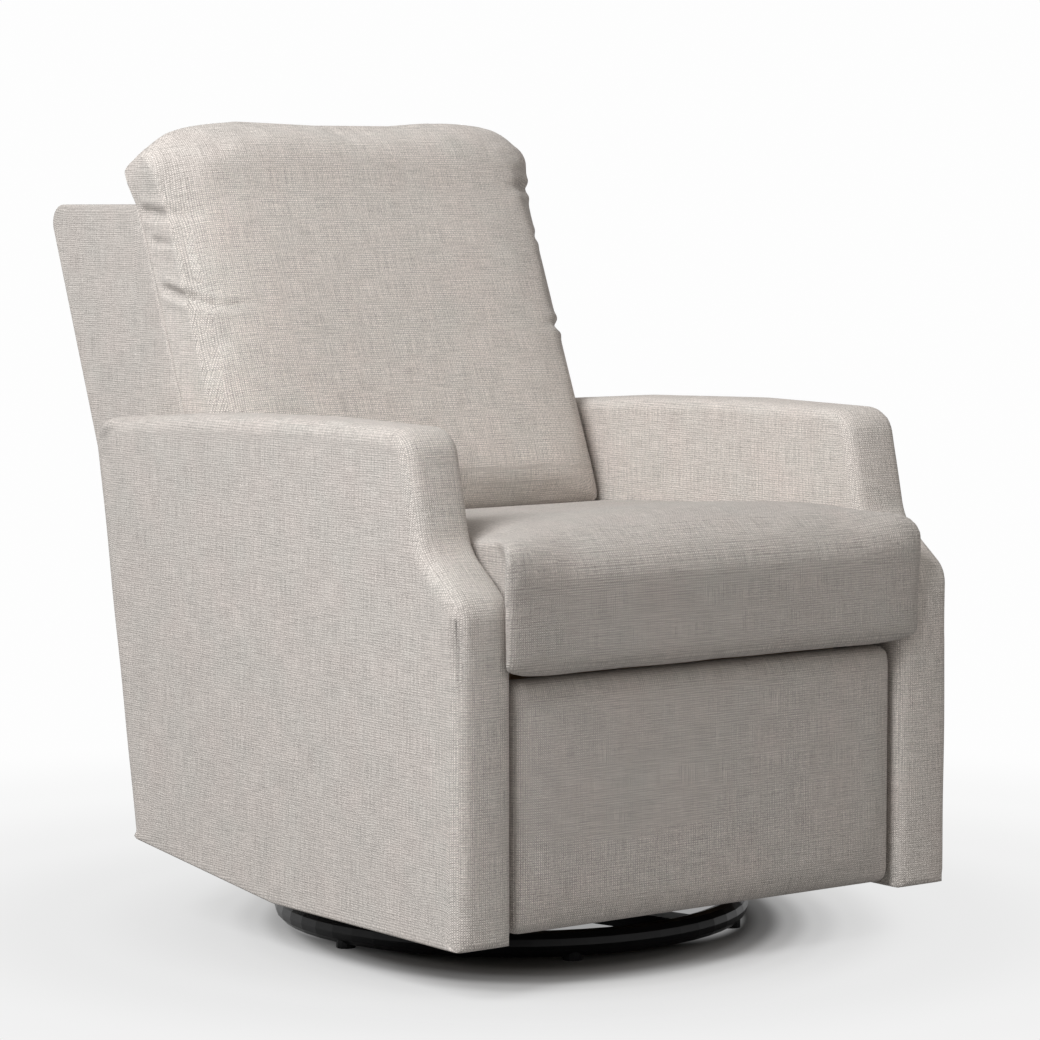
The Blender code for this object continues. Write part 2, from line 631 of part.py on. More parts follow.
def build_base():
    """Tube ring with its glides, cross bars, lower bearing plate, ball cage and king bolt."""
    bpy.ops.mesh.primitive_torus_add(major_radius=RING_RADIUS, minor_radius=RING_TUBE,
                                     major_segments=RING_STEPS, minor_segments=TUBE_SIDES)
    ring_mesh = bpy.context.object.data
    bpy.data.objects.remove(bpy.context.object)
    ring_mesh.shade_smooth()
    ring = add_piece("base_ring", ring_mesh, "base", "black_gloss", (0.0, 0.0, RING_Z))
    glides = bmesh.new()
    for number in range(GLIDE_COUNT):
        heading = rad(GLIDE_HEADING + 360 * number / GLIDE_COUNT)
        centre = (RING_RADIUS * math.cos(heading), RING_RADIUS * math.sin(heading), RING_TUBE / 2)
        add_cylinder(glides, centre, GLIDE_RADIUS, RING_TUBE, "Z", TUBE_SIDES)
    join_shape(ring, "base_glides", glides, "base")

    bar_end = (RING_RADIUS - RING_TUBE) * math.cos(math.pi / RING_STEPS) - SEAT_GAP
    half_angle = math.degrees(math.asin(BAR_WIDTH / 2 / bar_end))
    inner = math.hypot(BAR_WIDTH / 2, BAR_WIDTH / 2)
    headings = [BAR_HEADING + 360 * number / BAR_COUNT for number in range(BAR_COUNT)]
    cross = []
    for heading in headings:
        cross += arc((0, 0), bar_end, heading - half_angle, heading + half_angle, 3)
        cross += arc((0, 0), inner, heading + 180 / BAR_COUNT, heading, 1)[:1]
    bore = KING_BOLT_RADIUS + HOLE_GAP
    lying_plate("base_cross_bars", "base", "black_gloss", (BAR_TOP - BAR_HEIGHT, BAR_TOP), cross,
                [circle((0, 0), bore, BOLT_SIDES)])

    bolt_centres = [(LOWER_BOLT_RADIUS * math.cos(rad(heading)),
                     LOWER_BOLT_RADIUS * math.sin(rad(heading))) for heading in headings]
    plate_z = (LOWER_PLATE_Z, LOWER_PLATE_Z + BEARING_PLATE)
    lower = lying_plate("bearing_lower_plate", "base", "zinc_steel", plate_z,
                        circle((0, 0), BEARING_PLATE_RADIUS, PLATE_SIDES),
                        [circle((0, 0), bore, BOLT_SIDES)])
    join_bolt_heads(lower, "base", bolt_centres, plate_z[1])

    inner_edge = BALL_PITCH_RADIUS - CAGE_WIDTH / 2
    outer_edge = BALL_PITCH_RADIUS + CAGE_WIDTH / 2
    cage_z = (BALL_Z - CAGE_THICKNESS / 2, BALL_Z + CAGE_THICKNESS / 2)
    cage_piece = lying_plate("bearing_ball_cage", "base", "zinc_steel", cage_z,
                             circle((0, 0), outer_edge, CAGE_SIDES),
                             [circle((0, 0), inner_edge, CAGE_SIDES)])
    balls = bmesh.new()
    for number in range(BALL_COUNT):
        heading = rad(360 * number / BALL_COUNT)
        centre = (BALL_PITCH_RADIUS * math.cos(heading), BALL_PITCH_RADIUS * math.sin(heading),
                  BALL_Z)
        bmesh.ops.create_icosphere(balls, subdivisions=2, radius=BALL_RADIUS,
                                   matrix=Matrix.Translation(centre))
    join_shape(cage_piece, "bearing_balls", balls, "base")

    nut_top = BAR_TOP - BAR_HEIGHT - SEAT_GAP
    nut_bottom = nut_top - BEARING_PLATE
    head_bottom = UPPER_PLATE_Z + BEARING_PLATE + SEAT_GAP
    head_top = head_bottom + BEARING_PLATE
    turned_piece("swivel_king_bolt", "base", "zinc_steel",
                 [(0.0, head_top), (KING_BOLT_HEAD, head_top), (KING_BOLT_HEAD, head_bottom),
                  (KING_BOLT_RADIUS, head_bottom), (KING_BOLT_RADIUS, nut_top),
                  (KING_BOLT_HEAD, nut_top), (KING_BOLT_HEAD, nut_bottom), (0.0, nut_bottom)],
                 BOLT_SIDES)


def join_bolt_heads(piece, body, centres, face_z):
    """Fuse the heads of a plate's bolts to one of its faces."""
    heads = bmesh.new()
    for x, y in centres:
        add_cylinder(heads, (x, y, face_z), BOLT_HEAD_RADIUS, 2 * BOLT_HEAD_HEIGHT, "Z", HEX)
    join_shape(piece, "bolt_heads_of_" + piece.name, heads, body)


# Glider base, turning on the bearing

def build_glider_base():
    """Upper bearing plate, base plate and the two upright side frames with their pins."""
    bore = KING_BOLT_HEAD + SEAT_GAP
    centres = [(sx * UPPER_BOLT_X, sy * UPPER_BOLT_Y) for sx in (-1, 1) for sy in (-1, 1)]
    plate_z = (UPPER_PLATE_Z, UPPER_PLATE_Z + BEARING_PLATE)
    upper = lying_plate("bearing_upper_plate", "swivel", "zinc_steel", plate_z,
                        circle((0, 0), UPPER_PLATE_RADIUS, PLATE_SIDES),
                        [circle((0, 0), KING_BOLT_RADIUS + HOLE_GAP, BOLT_SIDES)])
    base_x = POST_X - SEAT_GAP
    half = GLIDER_BASE_HALF_DEPTH
    lying_plate("glider_base_plate", "swivel", "black_steel",
                (GLIDER_BASE_Z, GLIDER_BASE_Z + GLIDER_BASE_PLATE),
                [(-base_x, -half), (base_x, -half), (base_x, half), (-base_x, half)],
                [circle((0, 0), bore, BOLT_SIDES)])
    join_bolt_heads(upper, "swivel", centres, UPPER_PLATE_Z)

    low = GLIDER_BASE_Z - GLIDE_TOP_Z
    bar_top = FOOT_TOP - GLIDE_TOP_Z
    post = GLIDE_LINK_HALF_WIDTH
    frame = [(-FOOT_OUTER_Y, low), (FOOT_OUTER_Y, low)]
    frame += arc((GLIDE_PIVOT_Y, 0), post, 0, 180, GLIDE_END_STEPS)
    frame += [(GLIDE_PIVOT_Y - post, bar_top), (-GLIDE_PIVOT_Y + post, bar_top)]
    frame += arc((-GLIDE_PIVOT_Y, 0), post, 0, 180, GLIDE_END_STEPS)
    pivots = [(-GLIDE_PIVOT_Y, GLIDE_TOP_Z), (GLIDE_PIVOT_Y, GLIDE_TOP_Z)]
    for name, side in SIDES:
        frame_x = sided(side, POST_X, POST_X + GLIDE_PLATE)
        piece = standing_plate("glider_side_frame_" + name, "swivel", "black_steel", frame_x, frame,
                               (), (0.0, GLIDE_TOP_Z))
        pin_x = sided(side, POST_X + GLIDE_PLATE / 2, GLIDE_LINK_X + GLIDE_PLATE)
        join_rivets(piece, "swivel", pivots, pin_x, PIN_RADIUS)


def build_glide_links():
    """The swinging links: front pair and rear pair, hanging straight down at rest."""
    outline = bar_outline((0, 0), (0, -GLIDE_LINK_LENGTH), GLIDE_LINK_HALF_WIDTH, GLIDE_END_STEPS)
    holes = [pin_hole((0, 0), PIN_RADIUS), pin_hole((0, -GLIDE_LINK_LENGTH), PIN_RADIUS)]
    for place, sign in (("front", -1), ("rear", 1)):
        for name, side in SIDES:
            link_x = sided(side, GLIDE_LINK_X, GLIDE_LINK_X + GLIDE_PLATE)
            standing_plate(place + "_glide_link_" + name, place + "_glide_links", "zinc_steel",
                           link_x, outline, holes, (sign * GLIDE_PIVOT_Y, GLIDE_TOP_Z))


# Chassis: the body of the chair

def arm_outline(underside=((*ARM_REAR_BOTTOM, HEEL_ROUNDING), (ARM_HEEL_Y, BODY_UNDERSIDE, 0.0),
                           (ARM_FRONT_Y, BODY_UNDERSIDE, 0.0))):
    """Side view of an arm, from the front up and round to the rear, then along its underside."""
    return rounded_outline([
        (ARM_FRONT_Y, SCOOP_BOTTOM, NOSE_ROUNDING),
        (*SCOOP_HOLLOW, HOLLOW_ROUNDING),
        (*ARM_NOSE, NOSE_ROUNDING),
        (*ARM_CREST, TOP_ROUNDING),
        (*ARM_SADDLE, TOP_ROUNDING),
        (*ARM_REAR_TOP, REAR_ROUNDING),
        *underside,
    ])


def arm_rear_y(z):
    """The arms' rear edge, which leans back."""
    (top_y, top_z), (bottom_y, bottom_z) = ARM_REAR_TOP, ARM_REAR_BOTTOM
    return bottom_y + (z - bottom_z) * (top_y - bottom_y) / (top_z - bottom_z)


def round_rim(piece, width, square=None):
    """Round the sharp edges of a block, but for those of the faces that square picks."""
    shape = bmesh.new()
    shape.from_mesh(piece.data)
    bmesh.ops.dissolve_limit(shape, angle_limit=rad(1), verts=shape.verts, edges=shape.edges)
    weights = shape.edges.layers.float.new("bevel_weight_edge")
    for edge in shape.edges:
        left_square = square and any(square(face) for face in edge.link_faces)
        if edge.calc_face_angle() > EDGE_ANGLE and not left_square:
            edge[weights] = 1.0
    shape.to_mesh(piece.data)
    shape.free()
    round_edges(piece, width, 2).limit_method = "WEIGHT"


def padded_cover(name, body, outlines, width, square, middle=0.0, at=GROUND, lean=0.0):
    """A cover with a rounded rim: a block less a hollow that runs out of its open faces.

    The outlines are the block's and one that goes further where the cover is open. The hollow
    is the second drawn in by the wall, and square picks the faces that the cover is open at.
    """
    outline, longer = outlines
    x = (middle - width / 2, middle + width / 2)
    cover = standing_plate(name, body, "linen", x, outline, (), at, lean)
    round_rim(cover, COVER_ROUNDING, square)
    cover.data.shade_smooth()
    cover.data.set_sharp_from_angle(angle=SMOOTH_ANGLE)
    hollow = standing_plate("hollow_of_" + name, body, "linen", (x[0] + COVER_WALL, x[1] - COVER_WALL),
                            inset_outline(longer, COVER_WALL), (), at, lean)
    round_rim(hollow, COVER_ROUNDING - COVER_WALL)
    set_aside(hollow)
    add_boolean(cover, hollow, "DIFFERENCE")


def faces_floor(face):
    return face.normal.y < -0.7 and face.calc_center_median().y < ARM_REAR_BOTTOM[1]


def build_arms():
    """Each arm: a plywood panel, a foam core and a padded cover that is open underneath."""
    outline = arm_outline()
    core = inset_outline(outline, CORE_INSET)
    low = BODY_UNDERSIDE - 2 * COVER_ROUNDING
    longer = arm_outline(((arm_rear_y(low), low, 0.0), (ARM_FRONT_Y, low, 0.0)))
    padding_end = ARM_OUTER_X - COVER_WALL - SEAT_GAP
    for name, side in SIDES:
        padded_cover("arm_cover_" + name, "chassis", (outline, longer), ARM_THICKNESS, faces_floor,
                     side * (ARM_INNER_X + ARM_THICKNESS / 2))
        standing_plate("arm_frame_" + name, "chassis", "plywood",
                       sided(side, ARM_FRAME_X, ARM_FRAME_X + ARM_FRAME), core)
        standing_plate("arm_padding_" + name, "chassis", "foam",
                       sided(side, ARM_PADDING_X, padding_end), core)


def build_chassis():
    """Rails that join the arms, the glider rails with their pins, the rear panel, side plates."""
    across = (-ARM_INNER_X + SEAT_GAP, ARM_INNER_X - SEAT_GAP)
    front_rail_y = (FRONT_RAIL_Y, FRONT_RAIL_Y + CROSS_RAIL_DEPTH)
    rear_rail_y = (REAR_RAIL_Y, REAR_RAIL_Y + CROSS_RAIL_DEPTH)
    wooden_rail("front_cross_rail", "chassis", across, front_rail_y,
                (FRONT_RAIL_BOTTOM, FRONT_RAIL_BOTTOM + CROSS_RAIL_HEIGHT))
    wooden_rail("rear_cross_rail", "chassis", across, rear_rail_y,
                (REAR_RAIL_BOTTOM, REAR_RAIL_BOTTOM + CROSS_RAIL_HEIGHT))

    rail_y = (front_rail_y[1] + SEAT_GAP, rear_rail_y[0] - SEAT_GAP)
    rail_outline = [(rail_y[0], -GLIDER_RAIL_HALF_HEIGHT), (rail_y[1], -GLIDER_RAIL_HALF_HEIGHT),
                    (rail_y[1], GLIDER_RAIL_HALF_HEIGHT), (rail_y[0], GLIDER_RAIL_HALF_HEIGHT)]
    pivots = [(sign * GLIDE_PIVOT_Y, GLIDE_LOW_Z) for sign in (-1, 1)]
    for name, side in SIDES:
        rail_x = sided(side, GLIDER_RAIL_X, GLIDER_RAIL_X + GLIDE_PLATE)
        piece = standing_plate("glider_rail_" + name, "chassis", "black_steel", rail_x, rail_outline,
                               (), (0.0, GLIDE_LOW_Z))
        pin_x = sided(side, GLIDE_LINK_X, GLIDER_RAIL_X + GLIDE_PLATE / 2)
        join_rivets(piece, "chassis", pivots, pin_x, PIN_RADIUS)

    low_y = arm_rear_y(REAR_PANEL_BOTTOM) - REAR_PANEL_INSET
    high_y = arm_rear_y(REAR_PANEL_TOP) - REAR_PANEL_INSET
    panel = rounded_outline([
        (low_y - REAR_PANEL, REAR_PANEL_BOTTOM, 0.0), (low_y, REAR_PANEL_BOTTOM, 0.0),
        (high_y, REAR_PANEL_TOP, REAR_PANEL_ROUNDING),
        (high_y - REAR_PANEL, REAR_PANEL_TOP, REAR_PANEL_ROUNDING / 2)])
    standing_plate("rear_lower_panel", "chassis", "linen", across, panel)

    front_y, rear_y = SIDE_PLATE_Y
    low_z, high_z = ROLLER_Z - SIDE_PLATE_HALF_HEIGHT, ROLLER_Z + SIDE_PLATE_HALF_HEIGHT
    plate = rounded_outline([
        (front_y, low_z, PLATE_CORNER), (rear_y, low_z, PLATE_CORNER),
        (rear_y, high_z, PLATE_CORNER), (front_y, high_z, PLATE_CORNER)], 45)
    slot_half = ROLLER_RADIUS + SLOT_GAP
    slots = [bar_outline((y - SEAT_TRAVEL, ROLLER_Z), (y, ROLLER_Z), slot_half) for y in ROLLER_Y]
    for name, side in SIDES:
        standing_plate("mechanism_side_plate_" + name, "chassis", "black_steel",
                       layer(SIDE_LAYER, side), plate, slots)


# Seat carriage

def foot_slot():
    """The curved slot in the carriage plate that the lower pins of the cross links follow."""
    half = RIVET_RADIUS + SLOT_GAP
    last = FOOT_SLOT_STEPS
    path = [Vector(added(DRIVE_PIVOT, scissor(step / last)["foot"])) for step in range(last + 1)]
    there, back = [], []
    for index, point in enumerate(path):
        ahead = path[min(index + 1, last)]
        behind = path[max(index - 1, 0)]
        run = (ahead - behind).normalized()
        across = Vector((-run.y, run.x)) * half
        there.append(tuple(point + across))
        back.append(tuple(point - across))
    low_run = (path[1] - path[0]).normalized()
    high_run = (path[-1] - path[-2]).normalized()
    low_heading = math.degrees(math.atan2(low_run.y, low_run.x))
    high_heading = math.degrees(math.atan2(high_run.y, high_run.x))
    top = arc(tuple(path[-1]), half, high_heading + 90, high_heading - 90, 5)[1:-1]
    bottom = arc(tuple(path[0]), half, low_heading - 90, low_heading - 270, 5)[1:-1]
    return there + top + list(reversed(back)) + bottom


def build_carriage():
    """Side plates on rollers, wooden seat frame, springs and the pins of the linkage."""
    leg_low_z = FOOT_PIVOT[1] - LINK_HALF_WIDTH
    leg_front_y = DRIVE_Y - LEG_FRONT
    leg_rear_y = FOOT_PIVOT[0] + LEG_REAR
    plate_low_z = ROLLER_Z - CARRIAGE_HALF_HEIGHT
    eye = arc(BACK_HINGE, HINGE_EYE, -100, 70, LINK_END_STEPS)
    plate = ([(leg_front_y, leg_low_z), (leg_rear_y, leg_low_z), (leg_rear_y, plate_low_z),
              (SEAT_FRAME_REAR_Y, plate_low_z)] + eye
             + [added(BACK_HINGE, HINGE_NECK), (SEAT_FRAME_REAR_Y, SEAT_FRAME_TOP),
                (leg_front_y, SEAT_FRAME_TOP)])
    plate_inner = layer(CARRIAGE_LAYER)[0]
    plate_middle = span(layer(CARRIAGE_LAYER))[1]
    pin_end = layer(DRIVE_LAYER)[0] + TUBE_BITE + SEAT_GAP
    rollers = [(y, ROLLER_Z) for y in ROLLER_Y]
    for name, side in SIDES:
        piece = standing_plate("carriage_plate_" + name, "seat_carriage", "black_steel",
                               layer(CARRIAGE_LAYER, side), plate, [foot_slot()])
        roller_x = sided(side, plate_middle, layer(SIDE_LAYER)[1] - SEAT_GAP)
        join_rivets(piece, "seat_carriage", rollers, roller_x, ROLLER_RADIUS)
        join_rivets(piece, "seat_carriage", [DRIVE_PIVOT, BACK_HINGE],
                    sided(side, pin_end, plate_middle))

    rail_outer = plate_inner - SEAT_GAP
    rail_inner = rail_outer - SEAT_RAIL_WIDTH
    frame_z = (SEAT_FRAME_BOTTOM, SEAT_FRAME_TOP)
    for name, side in SIDES:
        wooden_rail("seat_side_rail_" + name, "seat_carriage", sided(side, rail_inner, rail_outer),
                    (SEAT_FRAME_FRONT_Y, SEAT_FRAME_REAR_Y), frame_z)
    cross_x = (-rail_inner + SEAT_GAP, rail_inner - SEAT_GAP)
    front_y = (SEAT_FRAME_FRONT_Y, SEAT_FRAME_FRONT_Y + SEAT_CROSS_WIDTH)
    rear_y = (SEAT_FRAME_REAR_Y - SEAT_CROSS_WIDTH, SEAT_FRAME_REAR_Y)
    wooden_rail("seat_front_rail", "seat_carriage", cross_x, front_y, frame_z)
    wooden_rail("seat_rear_rail", "seat_carriage", cross_x, rear_y, frame_z)
    build_springs(front_y[1] + SEAT_GAP, rear_y[0] - SEAT_GAP, rail_inner)


def build_springs(front_y, rear_y, half_width):
    """Sinuous wires from the front rail to the rear rail, held side by side by two tie wires."""
    curve = bpy.data.curves.new("seat_springs", "CURVE")
    curve.dimensions = "3D"
    curve.bevel_depth = SPRING_WIRE
    curve.bevel_resolution = 0
    curve.use_fill_caps = True
    middle_z = (SEAT_FRAME_BOTTOM + SEAT_FRAME_TOP) / 2
    pitch = (rear_y - front_y - 2 * SPRING_TAIL) / SPRING_WAVES
    for number in range(SPRING_COUNT):
        x = -half_width + 2 * half_width * (number + 0.5) / SPRING_COUNT
        points = [(x, front_y), (x, front_y + SPRING_TAIL - pitch / 2)]
        for wave in range(SPRING_WAVES):
            side = x + SPRING_SWING * (1 if wave % 2 else -1)
            y = front_y + SPRING_TAIL + pitch * wave
            points += [(side, y), (side, y + pitch * SPRING_RUN)]
        points += [(x, rear_y - SPRING_TAIL + pitch / 2), (x, rear_y)]
        spline = curve.splines.new("POLY")
        spline.points.add(len(points) - 1)
        for point, (px, py) in zip(spline.points, points):
            point.co = (px, py, 0.0, 1.0)
    guide = bpy.data.objects.new("seat_springs_guide", curve)
    cutters.objects.link(guide)
    bpy.context.view_layer.update()
    graph = bpy.context.evaluated_depsgraph_get()
    wires = bpy.data.meshes.new_from_object(guide.evaluated_get(graph))
    bpy.data.objects.remove(guide)
    bpy.data.curves.remove(curve)
    shape = bmesh.new()
    shape.from_mesh(wires)
    bpy.data.meshes.remove(wires)
    bmesh.ops.remove_doubles(shape, verts=shape.verts, dist=0.00001)
    springs = add_piece("seat_springs", finish_mesh("seat_springs", shape), "seat_carriage",
                        "spring_steel", (0.0, 0.0, middle_z))
    ties = bmesh.new()
    tie_length = 2 * half_width * (1 - 0.5 / SPRING_COUNT)
    for wave in (SPRING_WAVES / 4, SPRING_WAVES * 3 / 4):
        tie_y = front_y + SPRING_TAIL + pitch * (wave + SPRING_RUN / 2)
        add_cylinder(ties, (0.0, tie_y, 0.0), TIE_WIRE, tie_length, "X", HEX)
    join_shape(springs, "tie_wires", ties, "seat_carriage", (0.0, 0.0, middle_z))


# Soft forms

def cage(xs, ys, zs):
    """A box cut along each list of values, for a soft form to start from."""
    shape = bmesh.new()
    add_box(shape, (xs[0], xs[-1]), (ys[0], ys[-1]), (zs[0], zs[-1]))
    for axis, cuts in enumerate((xs, ys, zs)):
        normal = [0.0, 0.0, 0.0]
        normal[axis] = 1.0
        for cut in cuts[1:-1]:
            point = [0.0, 0.0, 0.0]
            point[axis] = cut
            everything = shape.verts[:] + shape.edges[:] + shape.faces[:]
            bmesh.ops.bisect_plane(shape, geom=everything, plane_co=point, plane_no=normal,
                                   dist=0.000001)
    return shape


def steps_between(low, high, low_edge, high_edge, count):
    """Cuts across a form: one near each edge, which sets its rounding, the rest evenly spread."""
    inner_low, inner_high = low + low_edge, high - high_edge
    inner = [inner_low + (inner_high - inner_low) * i / (count - 2) for i in range(count - 1)]
    return [low] + inner + [high]


def soften(piece):
    subdivision = piece.modifiers.new("soft", "SUBSURF")
    subdivision.levels = 1
    subdivision.render_levels = 1


def dome(share):
    """From 1 in the middle to 0 at both ends, full in between."""
    return max(0.0, 1.0 - abs(share) ** 2.6)


def build_seat_cushion():
    """Overstuffed seat: crowned top, sides drawn in, rounded front and a low rear edge."""
    half = ARM_INNER_X - CUSHION_GAP
    side, low, front = CUSHION_SIDE_EDGE, CUSHION_LOW_EDGE, CUSHION_FRONT_EDGE
    count_x, count_y, count_z = CUSHION_CUTS
    xs = steps_between(-half, half, side, side, count_x)
    ys = steps_between(CUSHION_FRONT_Y, CUSHION_REAR_Y, front, side, count_y)
    zs = steps_between(CUSHION_BOTTOM, CUSHION_EDGE_TOP, low, front, count_z)
    shape = cage(xs, ys, zs)
    half_depth, middle_y = (CUSHION_REAR_Y - CUSHION_FRONT_Y) / 2, (CUSHION_REAR_Y + CUSHION_FRONT_Y) / 2
    for vert in shape.verts:
        u = vert.co.x / half
        v = (vert.co.y - middle_y) / half_depth
        t = (vert.co.z - CUSHION_BOTTOM) / CUSHION_HEIGHT
        vert.co.x -= math.copysign(CUSHION_DRAW_IN * dome(v) * abs(u) ** 4, u)
        if v > 0:
            vert.co.y -= CUSHION_REAR_DRAW_IN * dome(u) * v ** 4
            vert.co.z -= CUSHION_REAR_FALL * t * v ** 6
        else:
            vert.co.y += CUSHION_LOW_ROLL * (1.0 - t) ** 2 * abs(v) ** 6
            vert.co.y += CUSHION_TOP_ROLL * t ** 4 * abs(v) ** 6
        vert.co.z += CUSHION_CROWN * t * dome(u) * dome(v)
    soften(add_piece("seat_cushion", finish_mesh("seat_cushion", shape, smooth=True),
                     "seat_carriage", "linen"))


def build_back_cushion():
    """Back pillow in the leaning frame: thick crown, fuller head, drawn-in sides."""
    count_x, count_v, count_u = PILLOW_CUTS
    xs = steps_between(-BACK_HALF_WIDTH, BACK_HALF_WIDTH, PILLOW_SIDE_EDGE, PILLOW_SIDE_EDGE, count_x)
    vs = steps_between(PILLOW_SIDE_V, PILLOW_REAR_V, PILLOW_FRONT_EDGE, PILLOW_REAR_EDGE, count_v)
    us = steps_between(PILLOW_BOTTOM_U, PILLOW_TOP_U, PILLOW_SIDE_EDGE, PILLOW_TOP_EDGE, count_u)
    shape = cage(xs, vs, us)
    half_tall, middle_u = (PILLOW_TOP_U - PILLOW_BOTTOM_U) / 2, (PILLOW_TOP_U + PILLOW_BOTTOM_U) / 2
    for vert in shape.verts:
        across = vert.co.x / BACK_HALF_WIDTH
        up = (vert.co.z - middle_u) / half_tall
        front = (PILLOW_REAR_V - vert.co.y) / (PILLOW_REAR_V - PILLOW_SIDE_V)
        head = math.exp(-((up - PILLOW_HEAD_PLACE) / PILLOW_HEAD_REACH) ** 2)
        full = (PILLOW_CROWN * dome(up) + PILLOW_HEAD * head) * dome(across)
        vert.co.y -= full * front
        vert.co.x -= math.copysign(PILLOW_DRAW_IN * dome(up) * abs(across) ** 4, across)
        vert.co.z -= PILLOW_SHOULDER * abs(across) ** 6 * max(up, 0.0) ** 4
    soften(add_piece("back_cushion", finish_mesh("back_cushion", shape, smooth=True), "back",
                     "linen", (0.0, *BACK_HINGE), LEANING))


# Back

def ledge_u(v):
    """Height along the back of the level ledge on its top, at a depth v."""
    return (BACK_LEDGE_Z - BACK_HINGE_Z + v * math.sin(BACK_LEAN)) / math.cos(BACK_LEAN)


def back_outline(front_v, bottom_u):
    return rounded_outline([
        (front_v, bottom_u, 0.0), (BACK_REAR_V, bottom_u, 0.0),
        (BACK_REAR_V, ledge_u(BACK_REAR_V), BACK_CORNER), (front_v, ledge_u(front_v), 0.0)])


def faces_front_or_below(face):
    return min(face.normal.x, face.normal.y) < -0.9


def build_back():
    """Wooden frame with webbing, the padded cover round it and the hinge brackets."""
    reach = 2 * COVER_ROUNDING
    outlines = (back_outline(BACK_FRONT_V, BACK_BOTTOM_U),
                back_outline(BACK_FRONT_V - reach, BACK_BOTTOM_U - reach))
    padded_cover("back_cover", "back", outlines, 2 * BACK_HALF_WIDTH, faces_front_or_below, 0.0,
                 BACK_HINGE, -BACK_LEAN)

    stile_outer = layer(DRIVE_LAYER)[0] - SEAT_GAP
    stile_inner = stile_outer - STILE_WIDTH
    web_v = BACK_FRONT_V + SEAT_GAP + WEB_THICKNESS / 2
    low_v = web_v + WEB_THICKNESS / 2 + 2 * SEAT_GAP
    high_v = low_v + STILE_DEPTH
    rail_x = (-stile_inner + SEAT_GAP, stile_inner - SEAT_GAP)
    for name, side in SIDES:
        leaning_box("back_stile_" + name, sided(side, stile_inner, stile_outer), (low_v, high_v),
                    (STILE_BOTTOM_U, STILE_TOP_U))
    leaning_box("back_top_rail", rail_x, (low_v, high_v),
                (STILE_TOP_U - BACK_RAIL_HEIGHT, STILE_TOP_U))
    low_rail = STILE_BOTTOM_U + BACK_RAIL_RISE
    leaning_box("back_bottom_rail", rail_x, (low_v, high_v), (low_rail, low_rail + BACK_RAIL_HEIGHT))
    build_webbing(stile_outer, web_v)

    front, rear = low_v + HINGE_BRACKET_INSET, high_v - HINGE_BRACKET_INSET
    bracket = rounded_outline([
        (front, HINGE_BRACKET_TOP, BRACKET_CORNER), (front, HINGE_BRACKET_FRONT, BRACKET_CORNER),
        (-HINGE_BRACKET_EYE, -HINGE_BRACKET_TIP, BRACKET_CORNER),
        (HINGE_BRACKET_TIP, -HINGE_BRACKET_TIP, BRACKET_CORNER),
        (HINGE_BRACKET_EYE, HINGE_BRACKET_TIP, BRACKET_CORNER),
        (rear, HINGE_BRACKET_REAR, BRACKET_CORNER), (rear, HINGE_BRACKET_TOP, BRACKET_CORNER)], 45)
    for name, side in SIDES:
        standing_plate("back_hinge_bracket_" + name, "back", "zinc_steel", layer(DRIVE_LAYER, side),
                       bracket, [pin_hole(GROUND)], BACK_HINGE, -BACK_LEAN)


def build_webbing(half_width, middle_v):
    """Woven straps across the back frame, as one lattice with open windows."""
    low, high = PILLOW_BOTTOM_U, STILE_TOP_U
    rows = [low + (high - WEB_WIDTH - low) * i / (WEB_ROWS - 1) for i in range(WEB_ROWS)]
    columns = [-half_width + (2 * half_width - WEB_WIDTH) * i / (WEB_COLUMNS - 1)
               for i in range(WEB_COLUMNS)]
    windows = []
    for left, right in zip(columns, columns[1:]):
        for under, over in zip(rows, rows[1:]):
            windows.append([(left + WEB_WIDTH, under + WEB_WIDTH), (right, under + WEB_WIDTH),
                            (right, over), (left + WEB_WIDTH, over)])
    outline = [(-half_width, low), (half_width, low), (half_width, high), (-half_width, high)]
    mesh = outline_mesh("back_webbing", outline, windows, WEB_THICKNESS)
    upright = LEANING @ Matrix.Rotation(rad(90), 3, "X")
    place_y, place_z = added(BACK_HINGE, turned((middle_v, 0.0), -BACK_LEAN))
    add_piece("back_webbing", mesh, "back", "webbing", (0.0, place_y, place_z), upright)


def leaning_box(name, x, v, u):
    """A wooden rail given in the back's leaning frame."""
    shape = bmesh.new()
    add_box(shape, x, v, u)
    add_piece(name, finish_mesh(name, shape), "back", "hardwood", (0.0, *BACK_HINGE), LEANING)


# Footrest linkage

def footrest_link(name, body, number, side, ends, hole_pivots, rivets=(), rivet_to=CROSS_LAYER):
    """A link between two pivots in a layer, with holes and rivets at pivots."""
    start, end = ends
    outline = bar_outline((0, 0), (end[0] - start[0], end[1] - start[1]), LINK_HALF_WIDTH)
    holes = [pin_hole((y - start[0], z - start[1])) for y, z in hole_pivots]
    piece = standing_plate(name, body, "zinc_steel", layer(number, side), outline, holes, start)
    if rivets:
        join_rivets(piece, body, rivets, rivet_span(number, rivet_to, side))
    return piece


def rivet_span(number, other, side):
    """X of a rivet from the middle of one layer to the far face of another."""
    low, high = layer(other)
    far = low + RIVET_INSET if other > number else high - RIVET_INSET
    return sided(side, span(layer(number))[1], far)


